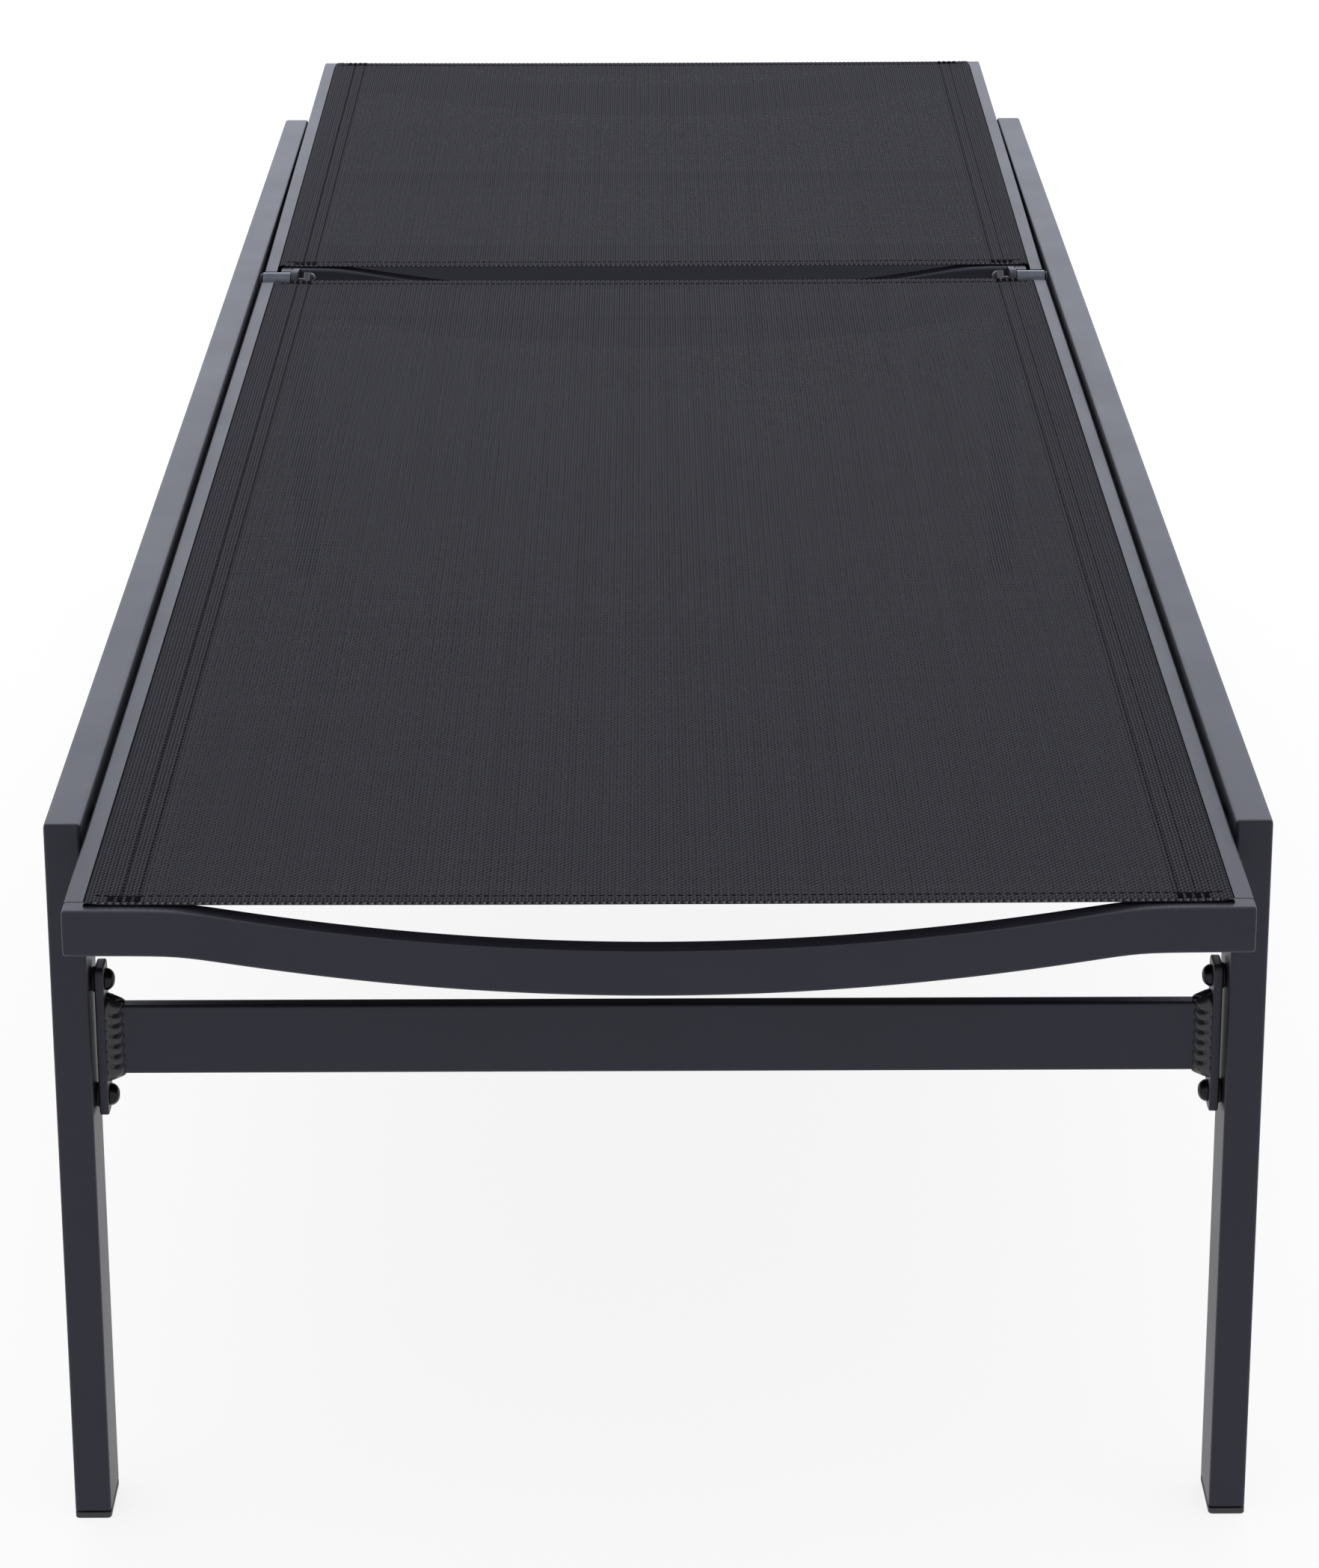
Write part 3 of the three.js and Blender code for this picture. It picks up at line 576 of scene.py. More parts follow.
def weld_round(outline, x, away):
    """A rippled bead round a (y, z) outline, from the plane at x outwards along away."""
    middle = (outline.min(0) + outline.max(0)) / 2
    closed = np.vstack([outline, outline[:1]])
    lengths = np.concatenate([[0], np.cumsum(np.linalg.norm(np.diff(closed, axis=0), axis=1))])
    around = lengths[-1]
    ripples = round(around / RIPPLE)
    places = np.linspace(0, around, ripples * 7, endpoint=False)
    path = np.column_stack([np.interp(places, lengths, closed[:, i]) for i in (0, 1)])
    normal = np.roll(path, -1, axis=0) - np.roll(path, 1, axis=0)
    normal = np.column_stack([normal[:, 1], -normal[:, 0]])
    normal /= np.linalg.norm(normal, axis=1)[:, None]
    normal *= np.sign((normal * (path - middle)).sum(1).mean())
    rings = []
    for s, point, direction in zip(places, path, normal):
        ring = []
        for angle in np.linspace(-0.1, math.pi / 2 + 0.1, 9):
            lag = 0.45 * math.sin(2 * angle)
            swell = 0.55 + 0.45 * abs(math.sin(math.pi * (s / around * ripples - lag))) ** 0.6
            side = point + direction * BEAD_RISE * swell * math.sin(angle)
            ring.append((x + away * BEAD_REACH * swell * math.cos(angle), *side))
        ring.append((x - away * 0.1 * MM, *(point - direction * 0.5 * MM)))
        rings.append(ring)
    return loft(rings, ring_of_rings=True)


for end in ENDS:
    low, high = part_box(f"stretcher_{end}")
    outline = rectangle(low.y, high.y, low.z, high.z, TUBE_CORNER)
    rings = along_x(outline, [(low.x, 0), (high.x, 0)])
    coated(f"stretcher_{end}_tube", loft(rings), f"stretcher_{end}")
    for side, sign in SIDES.items():
        plate_low, plate_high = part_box(f"end_plate_{end}_{side}")
        plate = rectangle(plate_low.y, plate_high.y, plate_low.z, plate_high.z, 4.5 * MM, 6)
        edge = 0.8 * MM
        rings = along_x(plate, [
            (plate_low.x, edge), (plate_low.x + 0.3 * edge, 0.3 * edge), (plate_low.x + edge, 0),
            (plate_high.x - edge, 0), (plate_high.x - 0.3 * edge, 0.3 * edge), (plate_high.x, edge),
        ])
        coated(f"end_plate_{end}_{side}_sheared", loft(rings), f"end_plate_{end}_{side}")
        face = plate_low.x if sign > 0 else plate_high.x
        weld(f"stretcher_weld_{end}_{side}", weld_round(outline, face, -sign))
print("stretcher", round((high.x - low.x) / MM), "mm long")

# %% [markdown]
# ## Screws, washers and the hinge's turned parts
# All of these are turned, so they are rings around an axis. A button-head screw is a low dome with
# a hexagon socket pressed into it. The socket's ring is a hexagon with as many points as the round
# rings, so the loft runs straight from one into the other.

# %% Turned parts
def turned(profile, y, z, sides=36):
    """Rings round an axis along X. A profile row is (x, radius) or (x, radius, "hexagon")."""
    angles = np.linspace(0, 2 * math.pi, sides, endpoint=False)
    rings = []
    for x, radius, *form in profile:
        reach = np.full(sides, radius)
        if form:
            reach = radius / np.cos((angles + math.pi / 6) % (math.pi / 3) - math.pi / 6)
        rings.append(np.column_stack([
            np.full(sides, x), y + reach * np.cos(angles), z + reach * np.sin(angles),
        ]))
    return rings


def turned_box(node):
    """A turned CAD node: its two ends along X, the one nearer the lounger's middle first, the
    y and z of its axis, and its largest radius."""
    low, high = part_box(node)
    inner, tip = (low.x, high.x) if low.x > 0 else (high.x, low.x)
    return inner, tip, (low.y + high.y) / 2, (low.z + high.z) / 2, (high.z - low.z) / 2


def button_head(seat, away, radius, height, key):
    """A domed head from its top's socket down to the seat. away points out of the head."""
    dome = [(0, 1.0), (0.18, 1.0), (0.42, 0.94), (0.66, 0.82), (0.84, 0.68), (0.95, 0.55),
            (1, 0.46)]
    rows = [(seat + away * height * up, radius * out) for up, out in dome]
    top = seat + away * height
    rows += [(top, key * 1.22), (top - away * 0.2 * MM, key, "hexagon"),
             (top - away * 0.55 * height, key * 0.98, "hexagon")]
    return rows[::-1]


def screw(node, head_radius, head_height, key, shank_radius):
    """A button-head screw in the place of a CAD node. Its head is at the end nearer the middle."""
    inner, tip, y, z, _ = turned_box(node)
    sign = 1 if inner > 0 else -1
    seat = inner + sign * head_height
    rows = button_head(seat, -sign, head_radius, head_height, key)
    rows += [(seat, shank_radius), (tip - sign * 0.6 * MM, shank_radius), (tip, 0.8 * shank_radius)]
    piece(f"{node}_button_head", loft(turned(rows, y, z)), "frame", black_steel,
          [node], sharp=40)


RIVET_DOME = 2 * MM
PIVOT_BORE = 4.4 * MM
for end in ENDS:
    for side, sign in SIDES.items():
        for level in ("lower", "upper"):
            tag = f"{end}_{side}_{level}"
            screw(f"bolt_{tag}", head_radius=6 * MM, head_height=4.5 * MM, key=2 * MM,
                  shank_radius=3 * MM)
            inner, outer, y, z, rim = turned_box(f"washer_{tag}")
            bore, ease = 3.2 * MM, 0.5 * MM
            rows = [(inner, bore), (inner, rim - ease), (inner + sign * ease, rim),
                    (outer - sign * ease, rim), (outer, rim - ease), (outer, bore)]
            piece(f"washer_{tag}_moulding", loft(turned(rows, y, z), ring_of_rings=True), "frame",
                  black_plastic, [f"washer_{tag}"])
for side, sign in SIDES.items():
    for node in (f"seat_bolt_{side}", f"pivot_bolt_{side}"):
        screw(node, head_radius=8 * MM, head_height=4 * MM, key=3 * MM, shank_radius=4 * MM)
    node = f"prop_rivet_{side}"
    inner, tip, y, z, head = turned_box(node)
    rows = [(inner + sign * RIVET_DOME * (1 - up), head * out)
            for up, out in ((1, 0.2), (0.97, 0.45), (0.8, 0.75), (0.45, 0.94), (0, 1))]
    rows += [(inner + sign * RIVET_DOME, 4 * MM), (tip, 4 * MM)]
    piece(f"{node}_domed", loft(turned(rows, y, z)), "backrest", black_steel, [node])
    node = f"pivot_sleeve_{side}"
    inner, outer, y, z, rim = turned_box(node)
    ease = 0.7 * MM
    shoulder = [(0, rim - ease), (0.3 * ease, rim - 0.3 * ease), (ease, rim)]
    rows = [(inner, PIVOT_BORE)] + [(inner + sign * x, radius) for x, radius in shoulder]
    rows += [(outer - sign * x, radius) for x, radius in shoulder[::-1]] + [(outer, PIVOT_BORE)]
    piece(f"{node}_turned", loft(turned(rows, y, z), ring_of_rings=True), "backrest", sleeve_steel,
          [node])
    node = f"pivot_insert_{side}"
    inner, tip, y, z, rim = turned_box(node)
    rows = [(inner, PIVOT_BORE), (inner, rim - 0.4 * MM), (inner + sign * 0.4 * MM, rim),
            (inner + sign * 1.2 * MM, rim), (inner + sign * 1.4 * MM, 5.5 * MM), (tip, 5.5 * MM),
            (tip, PIVOT_BORE)]
    piece(f"{node}_turned", loft(turned(rows, y, z), ring_of_rings=True), "frame", powder_coat,
          [node])
print("pivot bore", round(2 * PIVOT_BORE / MM, 1), "mm, rivet head", round(2 * head / MM), "mm")

# %% [markdown]
# ## The backrest's own frame
# The backrest lies almost flat: it leans up by a small angle about its hinge. Its pieces are drawn
# flat, in coordinates that start at the hinge, and one matrix then lays them in place. That is how
# the real one is made too: built flat on a bench and hung afterwards.

# %% The backrest's lean
hinge = Vector(next(j for j in frame["joints"] if j["child"] == "backrest")["pos_m"])
REST_LEAN = math.radians(1.3)
lean = Matrix.Translation(hinge) @ Matrix.Rotation(REST_LEAN, 4, "X")
level = Matrix.Identity(4)


def bench_box(node):
    """Lowest and highest corner of a backrest node as it lay on the bench, from the hinge."""
    corners = [lean.inverted() @ vertex.co for vertex in frame["nodes"][node].data.vertices]
    return Vector(map(min, zip(*corners))), Vector(map(max, zip(*corners)))


def laid(shape, matrix):
    """The same shape, moved by a matrix."""
    points, faces = shape
    turn = np.array(matrix.to_3x3())
    return points @ turn.T + np.array(matrix.translation), faces


print("hinge at", [round(value, 4) for value in hinge],
      "leaning", round(math.degrees(REST_LEAN), 1), "degrees")

# %% [markdown]
# ## Side tubes with a slot
# The side tubes are extrusions with a narrow slot along the top. The sling's edge, folded round a
# plastic rod, slides in from one end and can't pull out. The slot is drawn as a real opening,
# because its dark line beside the cloth is one of the things that make the lounger look built.

# %% Slotted side tubes
SIDE_WIDTH, SIDE_HEIGHT, SIDE_WALL = 22 * MM, 25 * MM, 1.6 * MM
SLOT_FROM_OUTSIDE, SLOT_WIDTH = 10 * MM, 3 * MM


def slotted(sign, outer, start, end, bottom):
    """A tube along Y with a slot in its top face."""
    inner, top = outer - SIDE_WIDTH, bottom + SIDE_HEIGHT
    lip_out, lip_in = outer - SLOT_FROM_OUTSIDE, outer - SLOT_FROM_OUTSIDE - SLOT_WIDTH
    wall, ease = SIDE_WALL, 1.5 * MM
    # Each corner is its place across, its height, and its rounding. The six plain ones are inside.
    corners = [
        (lip_out, top, 0.5 * MM), (lip_out, top - wall, 0), (outer - wall, top - wall, 0),
        (outer - wall, bottom + wall, 0), (inner + wall, bottom + wall, 0),
        (inner + wall, top - wall, 0), (lip_in, top - wall, 0), (lip_in, top, 0.5 * MM),
        (inner, top, ease), (inner, bottom, ease), (outer, bottom, ease), (outer, top, ease),
    ]
    outline = eased([corner[:2] for corner in corners], [corner[2] for corner in corners])
    rings = [
        np.column_stack([sign * outline[:, 0], np.full(len(outline), y), outline[:, 1]])
        for y in (start, end)
    ]
    return loft(rings)


FRAME_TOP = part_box("seat_side_tube_left")[1].z
FRAME_BOTTOM = FRAME_TOP - SIDE_HEIGHT
# The side tubes run on over the crossbar's rounded edge, as the weld between them would fill it.
RUN_ON = 2.2 * MM
for side, sign in SIDES.items():
    low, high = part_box(f"seat_side_tube_{side}")
    outer = max(abs(low.x), abs(high.x))
    coated(f"seat_side_tube_{side}_extrusion",
           slotted(sign, outer, low.y - RUN_ON, high.y, low.z), f"seat_side_tube_{side}", sharp=40)
    start, end = bench_box(f"backrest_side_tube_{side}")
    coated(f"backrest_side_tube_{side}_extrusion",
           laid(slotted(sign, outer, start.y, end.y + RUN_ON, start.z), lean),
           f"backrest_side_tube_{side}", "backrest", sharp=40)
BENCH_TOP, BENCH_BOTTOM = end.z, start.z
print("tubes", round((high.y - low.y) / MM), "and", round((end.y - start.y) / MM), "mm long")

# %% [markdown]
# ## Bowed crossbars
# The bars under the slings are bent downwards, so that nobody sits on metal. Each is flat for a
# hand's width at its ends and then runs in one even arc. The tube's section stays upright all
# along, so the bar is an upright outline that drops as it crosses. The ends of the front bar and
# the head bar show, so they are closed by a welded cap with a small rounding in plan.

# %% Bowed crossbars
BOW, BOW_FLAT, BAR_DEPTH = 23 * MM, 60 * MM, 15 * MM
BAR_CORNER = 2.6 * MM
END_CAP = 1.6 * MM
low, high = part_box("seat_front_bar")
frame_half = high.x
TUBE_INNER = frame_half - SIDE_WIDTH


def bow_drop(x):
    """How far the bar has dropped at x: almost nothing at its ends, then one arc."""
    arc = frame_half - BOW_FLAT
    inside = arc * arc - x * x
    return BOW * (inside + np.hypot(inside, 0.1 * arc * arc)) / (2 * arc * arc)


def bowed(half, start, bottom, cap_round=0.0):
    """A bar across the lounger. cap_round is the rounding of its ends, seen from above."""
    outline = rectangle(start, start + BAR_DEPTH, bottom, bottom + SIDE_HEIGHT, BAR_CORNER)
    middle = np.array((start + BAR_DEPTH / 2, bottom + SIDE_HEIGHT / 2))
    spread = np.array((BAR_DEPTH / 2, SIDE_HEIGHT / 2))
    stations = list(np.linspace(-1, 1, 97) * (half - max(cap_round, 0.1 * MM)))
    shown = [(x, 0.0) for x in stations]
    if cap_round:
        for angle in np.linspace(0, math.pi / 2, 6)[1:]:
            x = half - cap_round + cap_round * math.sin(angle)
            inset = cap_round * (1 - math.cos(angle))
            shown = [(-x, inset)] + shown + [(x, inset)]
    rings = []
    for x, inset in shown:
        ring = middle + (outline - middle) * (1 - inset / spread)
        ring[:, 1] -= bow_drop(x)
        rings.append(np.column_stack([np.full(len(ring), x), ring]))
    return loft(rings)


coated("seat_front_bar_bent", bowed(frame_half, low.y, FRAME_BOTTOM, END_CAP), "seat_front_bar")
low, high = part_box("seat_rear_bar")
coated("seat_rear_bar_bent", bowed(high.x, low.y, FRAME_BOTTOM), "seat_rear_bar")
for name, cap in (("lower", 0.0), ("head", END_CAP)):
    node = f"backrest_{name}_bar"
    start, end = bench_box(node)
    coated(f"{node}_bent", laid(bowed(end.x, start.y, BENCH_BOTTOM, cap), lean), node, "backrest")
print("bars bow by", BOW / MM, "mm")

# %% [markdown]
# ## Lugs, racks and the prop
# These are sheared plate and bent channel. Their CAD shapes are right, so each is copied and only
# its edges are eased: flat faces that the CAD split into triangles are joined again first, or the
# bevel would run along every split.

# %% Plates with eased edges
def softened(node, body, width, name):
    """A coated copy of a CAD node with its edges bevelled, standing for that node."""
    source = frame["nodes"][node].data
    edit = bmesh.new()
    edit.from_mesh(source)
    bmesh.ops.remove_doubles(edit, verts=edit.verts, dist=0.01 * MM)
    bmesh.ops.dissolve_limit(edit, angle_limit=math.radians(1), verts=edit.verts, edges=edit.edges)
    data = bpy.data.meshes.new(name)
    edit.to_mesh(data)
    edit.free()
    made = placed(name, data, body, powder_coat, [node], sharp=50)
    bevel = made.modifiers.new("eased_edges", "BEVEL")
    bevel.width, bevel.segments, bevel.limit_method = width, 3, "ANGLE"
    bevel.angle_limit = math.radians(50)
    bevel.harden_normals = True
    return made


eased_pieces = []
for side in SIDES:
    eased_pieces += [
        softened(f"seat_lug_{side}", "frame", 0.6 * MM, f"seat_lug_{side}_plate"),
        softened(f"backrest_lug_{side}", "backrest", 0.6 * MM, f"backrest_lug_{side}_plate"),
        softened(f"rack_{side}", "frame", 0.5 * MM, f"rack_{side}_channel"),
    ]
eased_pieces.append(softened("prop", "prop", 0.6 * MM, "prop_bent_rod"))
print("softened", len(eased_pieces), "pieces")

# %% [markdown]
# ## Fillet welds
# Tubes that meet at a right angle are joined by a fillet: a quarter-round bead in the inner corner,
# laid in small steps. It tapers at both ends, where the welder starts and stops. The long racks
# need only three short beads, because a full one would warp them.

# %% Fillet welds
def fillet(first, last, along_a, along_b, size=3.5 * MM, ripple=3 * MM):
    """A bead from first to last in the corner between two faces that run along_a and along_b."""
    first, last, along_a, along_b = (
        np.asarray(vector, float) for vector in (first, last, along_a, along_b)
    )
    length = np.linalg.norm(last - first)
    ripples = max(3, round(length / ripple))
    rings = []
    for t in np.linspace(0, 1, ripples * 6 + 1):
        taper = min(1, 0.35 + min(t, 1 - t) * length / size)
        swell = taper * (0.78 + 0.22 * abs(math.sin(math.pi * ripples * t)) ** 0.6)
        centre = first + (last - first) * t
        ring = [
            centre + size * swell * (math.cos(angle) * along_a + math.sin(angle) * along_b)
            for angle in np.linspace(0, math.pi / 2, 6)
        ]
        ring.append(centre - 0.3 * MM * (along_a + along_b))
        rings.append(ring)
    return loft(rings)


def corner_fillets(near_y, far_y, bottom, top):
    """Four upright beads inside a frame whose two bars show the faces near_y and far_y."""
    beads = []
    for sign in SIDES.values():
        for y, onward in ((near_y, 1), (far_y, -1)):
            beads.append(fillet(
                (sign * TUBE_INNER, y, bottom + 1 * MM), (sign * TUBE_INNER, y, top - 1.5 * MM),
                (-sign, 0, 0), (0, onward, 0),
            ))
    return merged(beads)


seat_corners = corner_fillets(
    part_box("seat_front_bar")[1].y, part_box("seat_rear_bar")[0].y, FRAME_BOTTOM, FRAME_TOP,
)
weld("seat_corner_welds", seat_corners)
back_corners = corner_fillets(
    bench_box("backrest_lower_bar")[1].y, bench_box("backrest_head_bar")[0].y, BENCH_BOTTOM,
    BENCH_TOP,
)
weld("backrest_corner_welds", laid(back_corners, lean), "backrest")
RACK_BEAD = 28 * MM
for side, sign in SIDES.items():
    low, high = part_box(f"rack_{side}")
    rail_low, rail_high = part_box(f"side_rail_{side}")
    inner = rail_low.x if sign > 0 else rail_high.x
    beads = [
        fillet((inner, y - RACK_BEAD / 2, rail_low.z), (inner, y + RACK_BEAD / 2, rail_low.z),
               (sign, 0, 0), (0, 0, -1), size=3 * MM)
        for y in np.linspace(low.y + RACK_BEAD, high.y - RACK_BEAD, 3)
    ]
    weld(f"rack_welds_{side}", merged(beads))
print("each corner bead is", round((FRAME_TOP - FRAME_BOTTOM) / MM - 2.5, 1), "mm long,",
      "each rack bead", RACK_BEAD / MM)

# %% [markdown]
# ## The slings
# A sling is one sheet of woven mesh. Its long edges are folded round a rod and held in the slots,
# and its short edges are hemmed: turned under by 11 mm and sewn. Between the tubes it hangs in a
# very shallow trough, because it is stretched tight when new. A cloth simulation would find this
# same trough, only less evenly, so the sheet is drawn directly: a grid whose height is a taut
# catenary, with rows of points placed closely where it folds, where a stitch line presses it
# down, and where it turns into the slot. The grid also remembers, at each point, how far that
# point is along and across the flat cloth, and the weave follows that.

# %% The cloth's shape
FLAP_EDGE = 262 * MM
STITCH_LINES = (265 * MM, 274 * MM)
HEM_SEAM = 9.8 * MM
# Between these two distances from the middle the cloth turns down into the slot.
SLOT_MOUTH = (288 * MM, 292 * MM)
CLOTH_LIFT = 1.5 * MM
CLOTH_SAG = 2.2 * MM


def cross_profile():
    """(distance from the middle, height over the tube's top, length of cloth) for one half."""
    wide_rows = np.arange(0, 255, 12.0)
    close_rows = [256, 260, 262, 263.6, 264.4, 265, 265.6, 266.4, 269, 272.6, 273.4, 274, 274.6,
                  275.4, 278, 281, 284, 286.5, 288.5, 290.2, 291.4, 292.1, 292.5, 292.7, 292.7,
                  292.5]
    u = np.concatenate([wide_rows, close_rows]) * MM
    z = np.full(len(u), CLOTH_LIFT)
    for line in STITCH_LINES:
        z -= 0.35 * MM * np.exp(-((u - line) / (0.7 * MM)) ** 2)
    z += 0.4 * MM * np.exp(-((u - 288.5 * MM) / (3 * MM)) ** 2)
    z[-7:] -= np.array([0.05, 0.3, 0.75, 1.4, 2.2, 3.2, 5.0]) * MM
    run = np.concatenate([[0], np.cumsum(np.hypot(np.diff(u), np.diff(z)))])
    return u, z, run


def length_profile(start, end):
    """(place along the lounger, extra height, length of cloth), with a hem turned under at each
    end. A row of the fold is how far in from the edge it is, and its height, in millimetres."""
    fold = np.array([(11, -1.35), (6, -1.45), (1.6, -1.4), (0.5, -1.15), (0, -0.7), (0.45, -0.2),
                     (1.4, 0.1), (3.5, 0.2), (7, 0.15), (8.6, 0.05), (9.2, -0.12), (9.8, -0.2),
                     (10.4, -0.12), (11, 0.05), (13, 0.0)]) * MM
    inner = np.arange(start + 22 * MM, end - 22 * MM, 11 * MM)
    v = np.concatenate([start + fold[:, 0], inner, end - fold[::-1, 0]])
    extra = np.concatenate([fold[:, 1], np.zeros(len(inner)), fold[::-1, 1]])
    run = np.concatenate([[0], np.cumsum(np.hypot(np.diff(v), np.diff(extra)))])
    return v, extra, run


def sag(u, v, start, end):
    """The trough: deepest in the middle of the sheet, shallower at the taut hemmed ends."""
    across = np.clip(1 - (u / TUBE_INNER) ** 2, 0, 1)
    from_end = np.minimum(v - start, end - v)
    along = 0.3 + 0.7 * (1 - np.exp(-np.clip(from_end, 0, None) / (140 * MM)))
    ripple = 0.12 * np.sin(v / (31 * MM) + 2.2 * u) * np.sin(v / (83 * MM) - 1.1)
    return CLOTH_SAG * across * (along + ripple * across)


def cloth_grid(u_run, v_run, height):
    """Points, faces and cloth places of a grid. u_run and v_run are (places, lengths)."""
    (u, u_len), (v, v_len) = u_run, v_run
    grid_u, grid_v = np.meshgrid(u, v)
    len_u, len_v = np.meshgrid(u_len, v_len)
    points = np.column_stack([grid_u.ravel(), grid_v.ravel(), height(grid_u, grid_v).ravel()])
    places = np.column_stack([len_u.ravel(), len_v.ravel(), np.full(grid_u.size, 0.5 * YARN_PITCH)])
    columns = len(u)
    faces = [
        (r * columns + c, r * columns + c + 1, (r + 1) * columns + c + 1, (r + 1) * columns + c)
        for r in range(len(v) - 1) for c in range(columns - 1)
    ]
    return points, faces, places


def remember_places(made, places):
    """Stores the flat cloth's coordinates on the mesh for the weave to follow."""
    stored = made.data.attributes.new("cloth_place", "FLOAT_VECTOR", "POINT")
    stored.data.foreach_set("vector", np.asarray(places, np.float32).ravel())


def sew(lines, stitch=3.2 * MM, gap=1.3 * MM, radius=0.42 * MM):
    """One mesh of stitches. A line is a list of points, and each stitch is a small capsule."""
    parts = []
    for line in lines:
        line = np.asarray(line)
        steps = np.concatenate([[0], np.cumsum(np.linalg.norm(np.diff(line, axis=0), axis=1))])
        count = int(steps[-1] / (stitch + gap))
        for i in range(count):
            s = (i + 0.5) * (stitch + gap)
            middle = np.array([np.interp(s, steps, line[:, k]) for k in range(3)])
            ahead = np.array([np.interp(s + stitch / 2, steps, line[:, k]) for k in range(3)])
            direction = (ahead - middle) / np.linalg.norm(ahead - middle)
            sideways = np.cross(direction, (0, 0, 1))
            sideways /= np.linalg.norm(sideways)
            upwards = np.cross(sideways, direction)
            rings = []
            for place, size, lift in ((-1, 0.35, -0.5), (-0.7, 0.9, -0.1), (0, 1, 0.25),
                                      (0.7, 0.9, -0.1), (1, 0.35, -0.5)):
                centre = middle + direction * place * stitch / 2 + upwards * lift * radius
                ring = [centre + size * radius * (math.cos(a) * sideways + math.sin(a) * upwards)
                        for a in np.linspace(0, 2 * math.pi, 5, endpoint=False)]
                rings.append(ring)
            parts.append(loft(rings))
    return merged(parts)


def make_sling(name, body, matrix, start, end, tube_top):
    """The sheet, its two folded side hems, its stitching, and the crests of its short hems."""
    u, z, run = cross_profile()
    u, z, run = (
        np.concatenate([sign * half[:0:-1], half]) for sign, half in ((-1, u), (1, z), (-1, run))
    )
    half_u, half_z = u[len(u) // 2:], z[len(u) // 2:]
    v, extra, v_run = length_profile(start, end)

    def surface(across, along):
        """The sheet's height, short hems left out."""
        return tube_top + np.interp(np.abs(across), half_u, half_z) - sag(across, along, start, end)

    def hemmed_surface(across, along):
        fold = np.repeat(extra[:, None], across.shape[1], axis=1)
        return surface(across, along) + fold * np.interp(np.abs(across), SLOT_MOUTH, [1, 0])

    def part(suffix, shape, material, stands_for=()):
        return piece(f"{name}_{suffix}", laid(shape, matrix), body, material,
                     stands_for, sharp=180, weighted=False)

    def seam(across, along, lift, mirror=1):
        """A line of points on the sheet, lifted off it, on the other side if mirror is -1."""
        across, along = np.broadcast_arrays(across, along)
        return np.column_stack([mirror * across, along, surface(across, along) + lift])

    points, faces, places = cloth_grid((u, run), (v, v_run), hemmed_surface)
    cloth = part("cloth", (points, faces), mesh_cloth, [name])
    remember_places(cloth, places)

    # The side hems lie under the sheet, from the inner stitch line to the slot.
    parts, all_places = [], []
    flap_v = np.arange(start + 2 * MM, end - 1 * MM, 11 * MM)
    for sign in (-1, 1):
        flap_u = sign * np.array([FLAP_EDGE / MM, 264, 268, 272, 276, 281, 286, 290]) * MM
        points, faces, places = cloth_grid(
            (flap_u, flap_u), (flap_v, flap_v - start),
            lambda across, along: surface(across, along) - 0.9 * MM,
        )
        parts.append((points, faces))
        all_places.append(places)
    flaps = part("side_hems", merged(parts), double_cloth)
    remember_places(flaps, np.concatenate(all_places))

    rows = np.arange(start + 1 * MM, end - 0.5 * MM, 10 * MM)
    columns = np.linspace(-SLOT_MOUTH[0], SLOT_MOUTH[0], 80)
    lines = [seam(line, rows, 0.1 * MM, sign) for sign in (-1, 1) for line in STITCH_LINES]
    lines += [seam(columns, row, -0.1 * MM) for row in (start + HEM_SEAM, end - HEM_SEAM)]
    # A bar tack is a dense block of stitches that locks a corner of the hem.
    tack = np.linspace(263 * MM, 281 * MM, 4)
    tack_rows = np.arange(2.5, 9, 1.1) * MM
    lines += [
        seam(tack, row, 0.35 * MM, sign)
        for sign in (-1, 1) for row in np.concatenate([start + tack_rows, end - tack_rows])
    ]
    stitches = part("stitching", sew(lines), thread)
    edges = [seam(columns, row, -0.35 * MM) for row in (start + 0.3 * MM, end - 0.3 * MM)]
    # The crests are painted lighter than the weave, as a painted highlight along the hem's edge.
    crests = part(
        "hem_crests", sew(edges, stitch=1.5 * MM, gap=2.3 * MM, radius=0.55 * MM), fold_yarn_painted_highlight,
    )


# %% [markdown]
# ## One sling on each frame
# The seat's sling is made where it lies. The backrest's is made flat on the bench, like its frame,
# and then leaned with it.

# %% The two slings
low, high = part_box("seat_sling")
make_sling("seat_sling", "frame", level, low.y, high.y, FRAME_TOP)
start, end = bench_box("backrest_sling")
make_sling("backrest_sling", "backrest", lean, start.y, end.y, BENCH_TOP)

# %% [markdown]
# ## Floor and light
# Catalogue pictures with a white ground are often taken on a sheet of opal acrylic, lit from
# below. Such a floor gives off most of its light itself, so the object's shadow on it stays pale.
# That is why most of the floor's brightness here is emission. The rest is a dull grey with a
# whisper of mottling, and only that part can hold a shadow. The light is soft and comes from all
# round, strongest from above and behind, which is what lets the satin tops shine while the faces
# towards us stay dark.

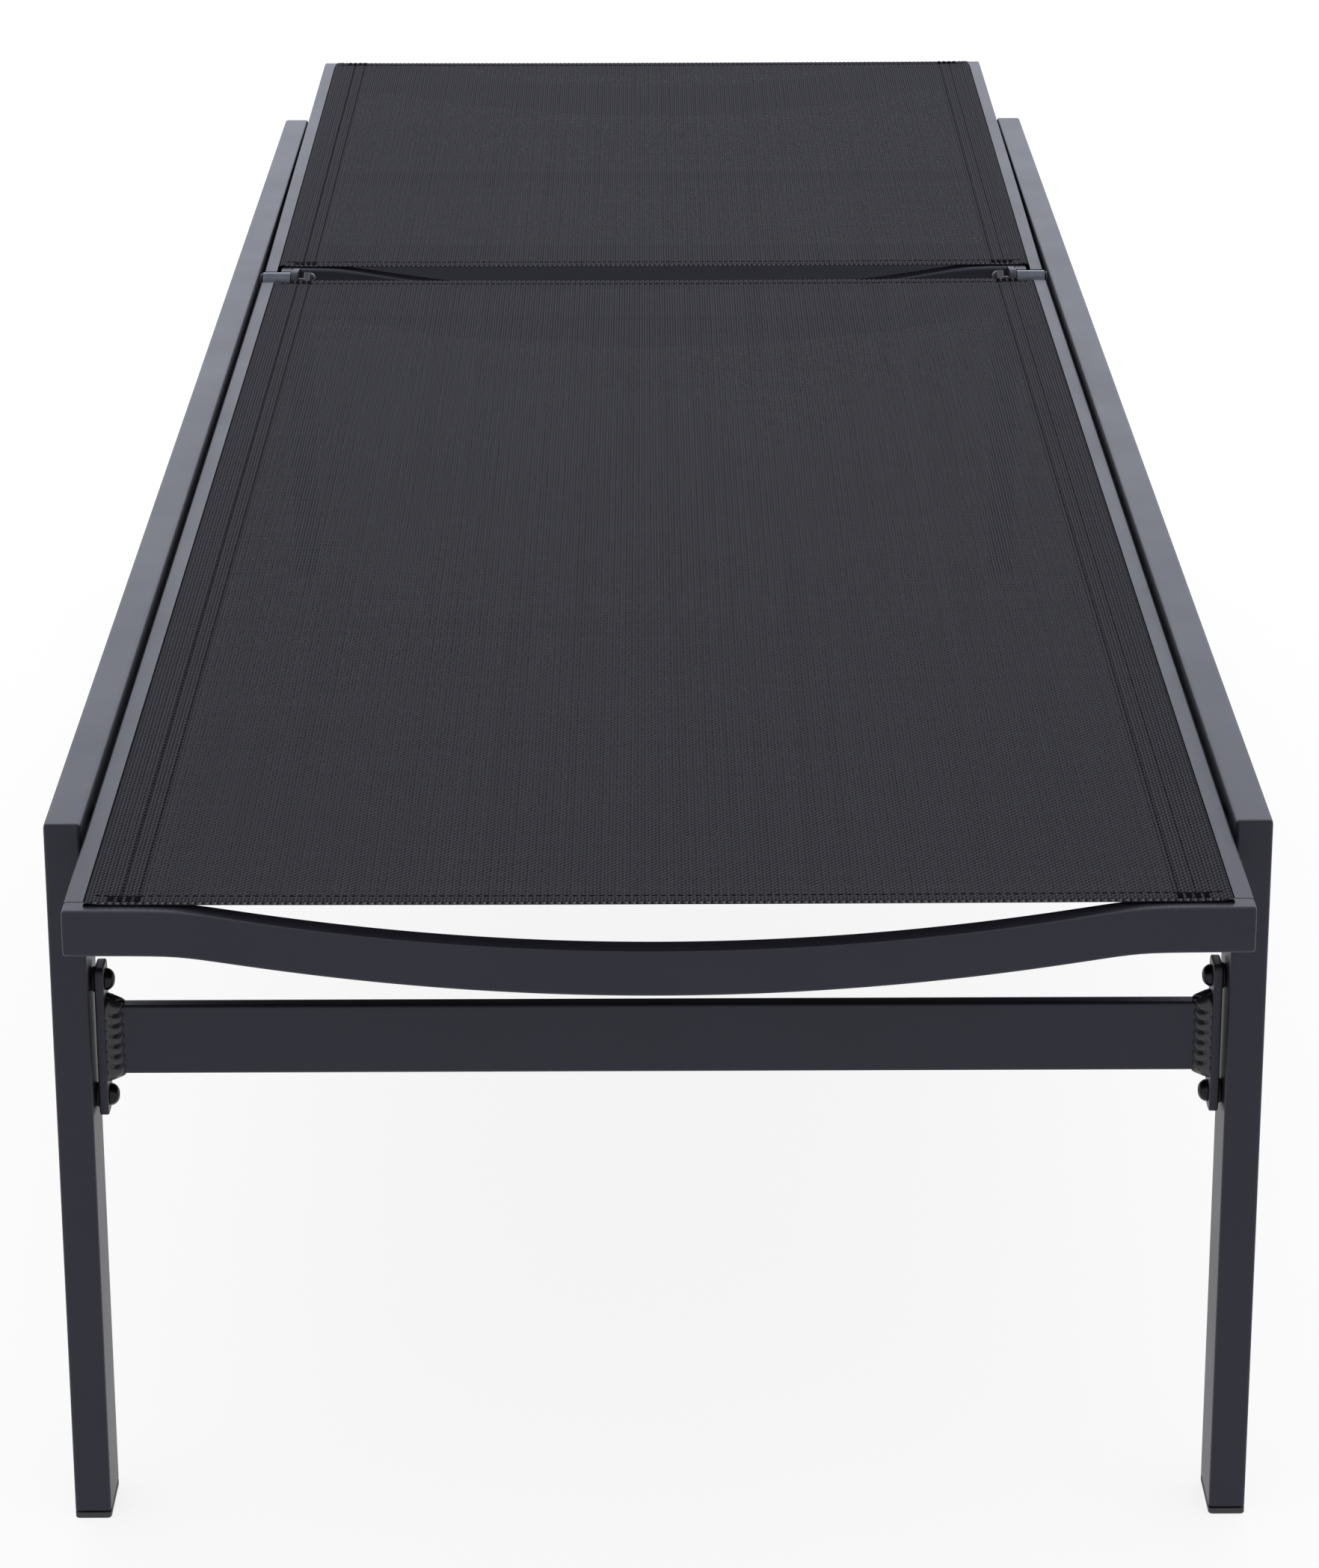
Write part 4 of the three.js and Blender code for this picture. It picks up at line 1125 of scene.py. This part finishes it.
# %% Floor
opal_floor, tree, place = new_material("opal_acrylic_floor_lit_from_below")
cloud = add(tree, "ShaderNodeTexNoise", {"Vector": place, "Scale": 1.2, "Detail": 4})
colour = add(tree, "ShaderNodeMix", {
    0: cloud.outputs["Fac"], 6: linear("#666667"), 7: linear("#6e6e6e"),
}, data_type="RGBA")
skin = add(tree, "ShaderNodeBsdfPrincipled", {
    "Base Color": colour.outputs[2], "Roughness": 0.9, "Specular IOR Level": 0.1,
    "Emission Color": linear("#ffffff"), "Emission Strength": 0.84,
})
shown_by(opal_floor, skin)
FLOOR_RADIUS = 40
angles = np.linspace(0, 2 * math.pi, 96, endpoint=False)
rim = [(FLOOR_RADIUS * math.cos(a), FLOOR_RADIUS * math.sin(a), -0.3 * MM) for a in angles]
floor_mesh = bpy.data.meshes.new("floor")
floor_mesh.from_pydata(rim, [], [tuple(range(len(rim)))])
floor_mesh.materials.append(opal_floor)
floor = bpy.data.objects.new("floor", floor_mesh)
scene.collection.objects.link(floor)
print("floor", 2 * FLOOR_RADIUS, "m across")

# %% Light
world = bpy.data.worlds.new("studio")
world.use_nodes = True
background = world.node_tree.nodes["Background"]
background.inputs["Color"].default_value = linear("#ffffff")
background.inputs["Strength"].default_value = 1.0
scene.world = world
scene.view_settings.view_transform = "Standard"


def softbox(name, place, aim, size, brightness, tint):
    """A square light. brightness is what a mirror would show of it, with 1 as paper white."""
    data = bpy.data.lights.new(name, "AREA")
    data.shape, data.size, data.size_y = "RECTANGLE", size[0], size[1]
    data.energy = brightness * math.pi * size[0] * size[1]
    data.color = linear(tint)[:3]
    made = bpy.data.objects.new(name, data)
    made.location = place
    direction = Vector(aim) - Vector(place)
    made.rotation_mode = "QUATERNION"
    made.rotation_quaternion = direction.to_track_quat("-Z", "Y")
    made.visible_camera = False
    scene.collection.objects.link(made)


softbox("softbox_behind", (0, 5.5, 2.4), (0, 0, 0.6), (6, 3), 1.3, "#dfe6ff")
softbox("softbox_above", (0, 0.4, 3.6), (0, 0, 0.4), (4, 4), 0.4, "#ffffff")

# %% [markdown]
# ## Finish
# Every CAD node should have its finished piece by now. One that is still shown would be painted
# tube, so it gets the powder coat and its name is printed.

# %% Leftover CAD nodes
for name, node in frame["nodes"].items():
    if not node.hide_render:
        node.data.materials.clear()
        node.data.materials.append(powder_coat)
        print("shown CAD node", name)
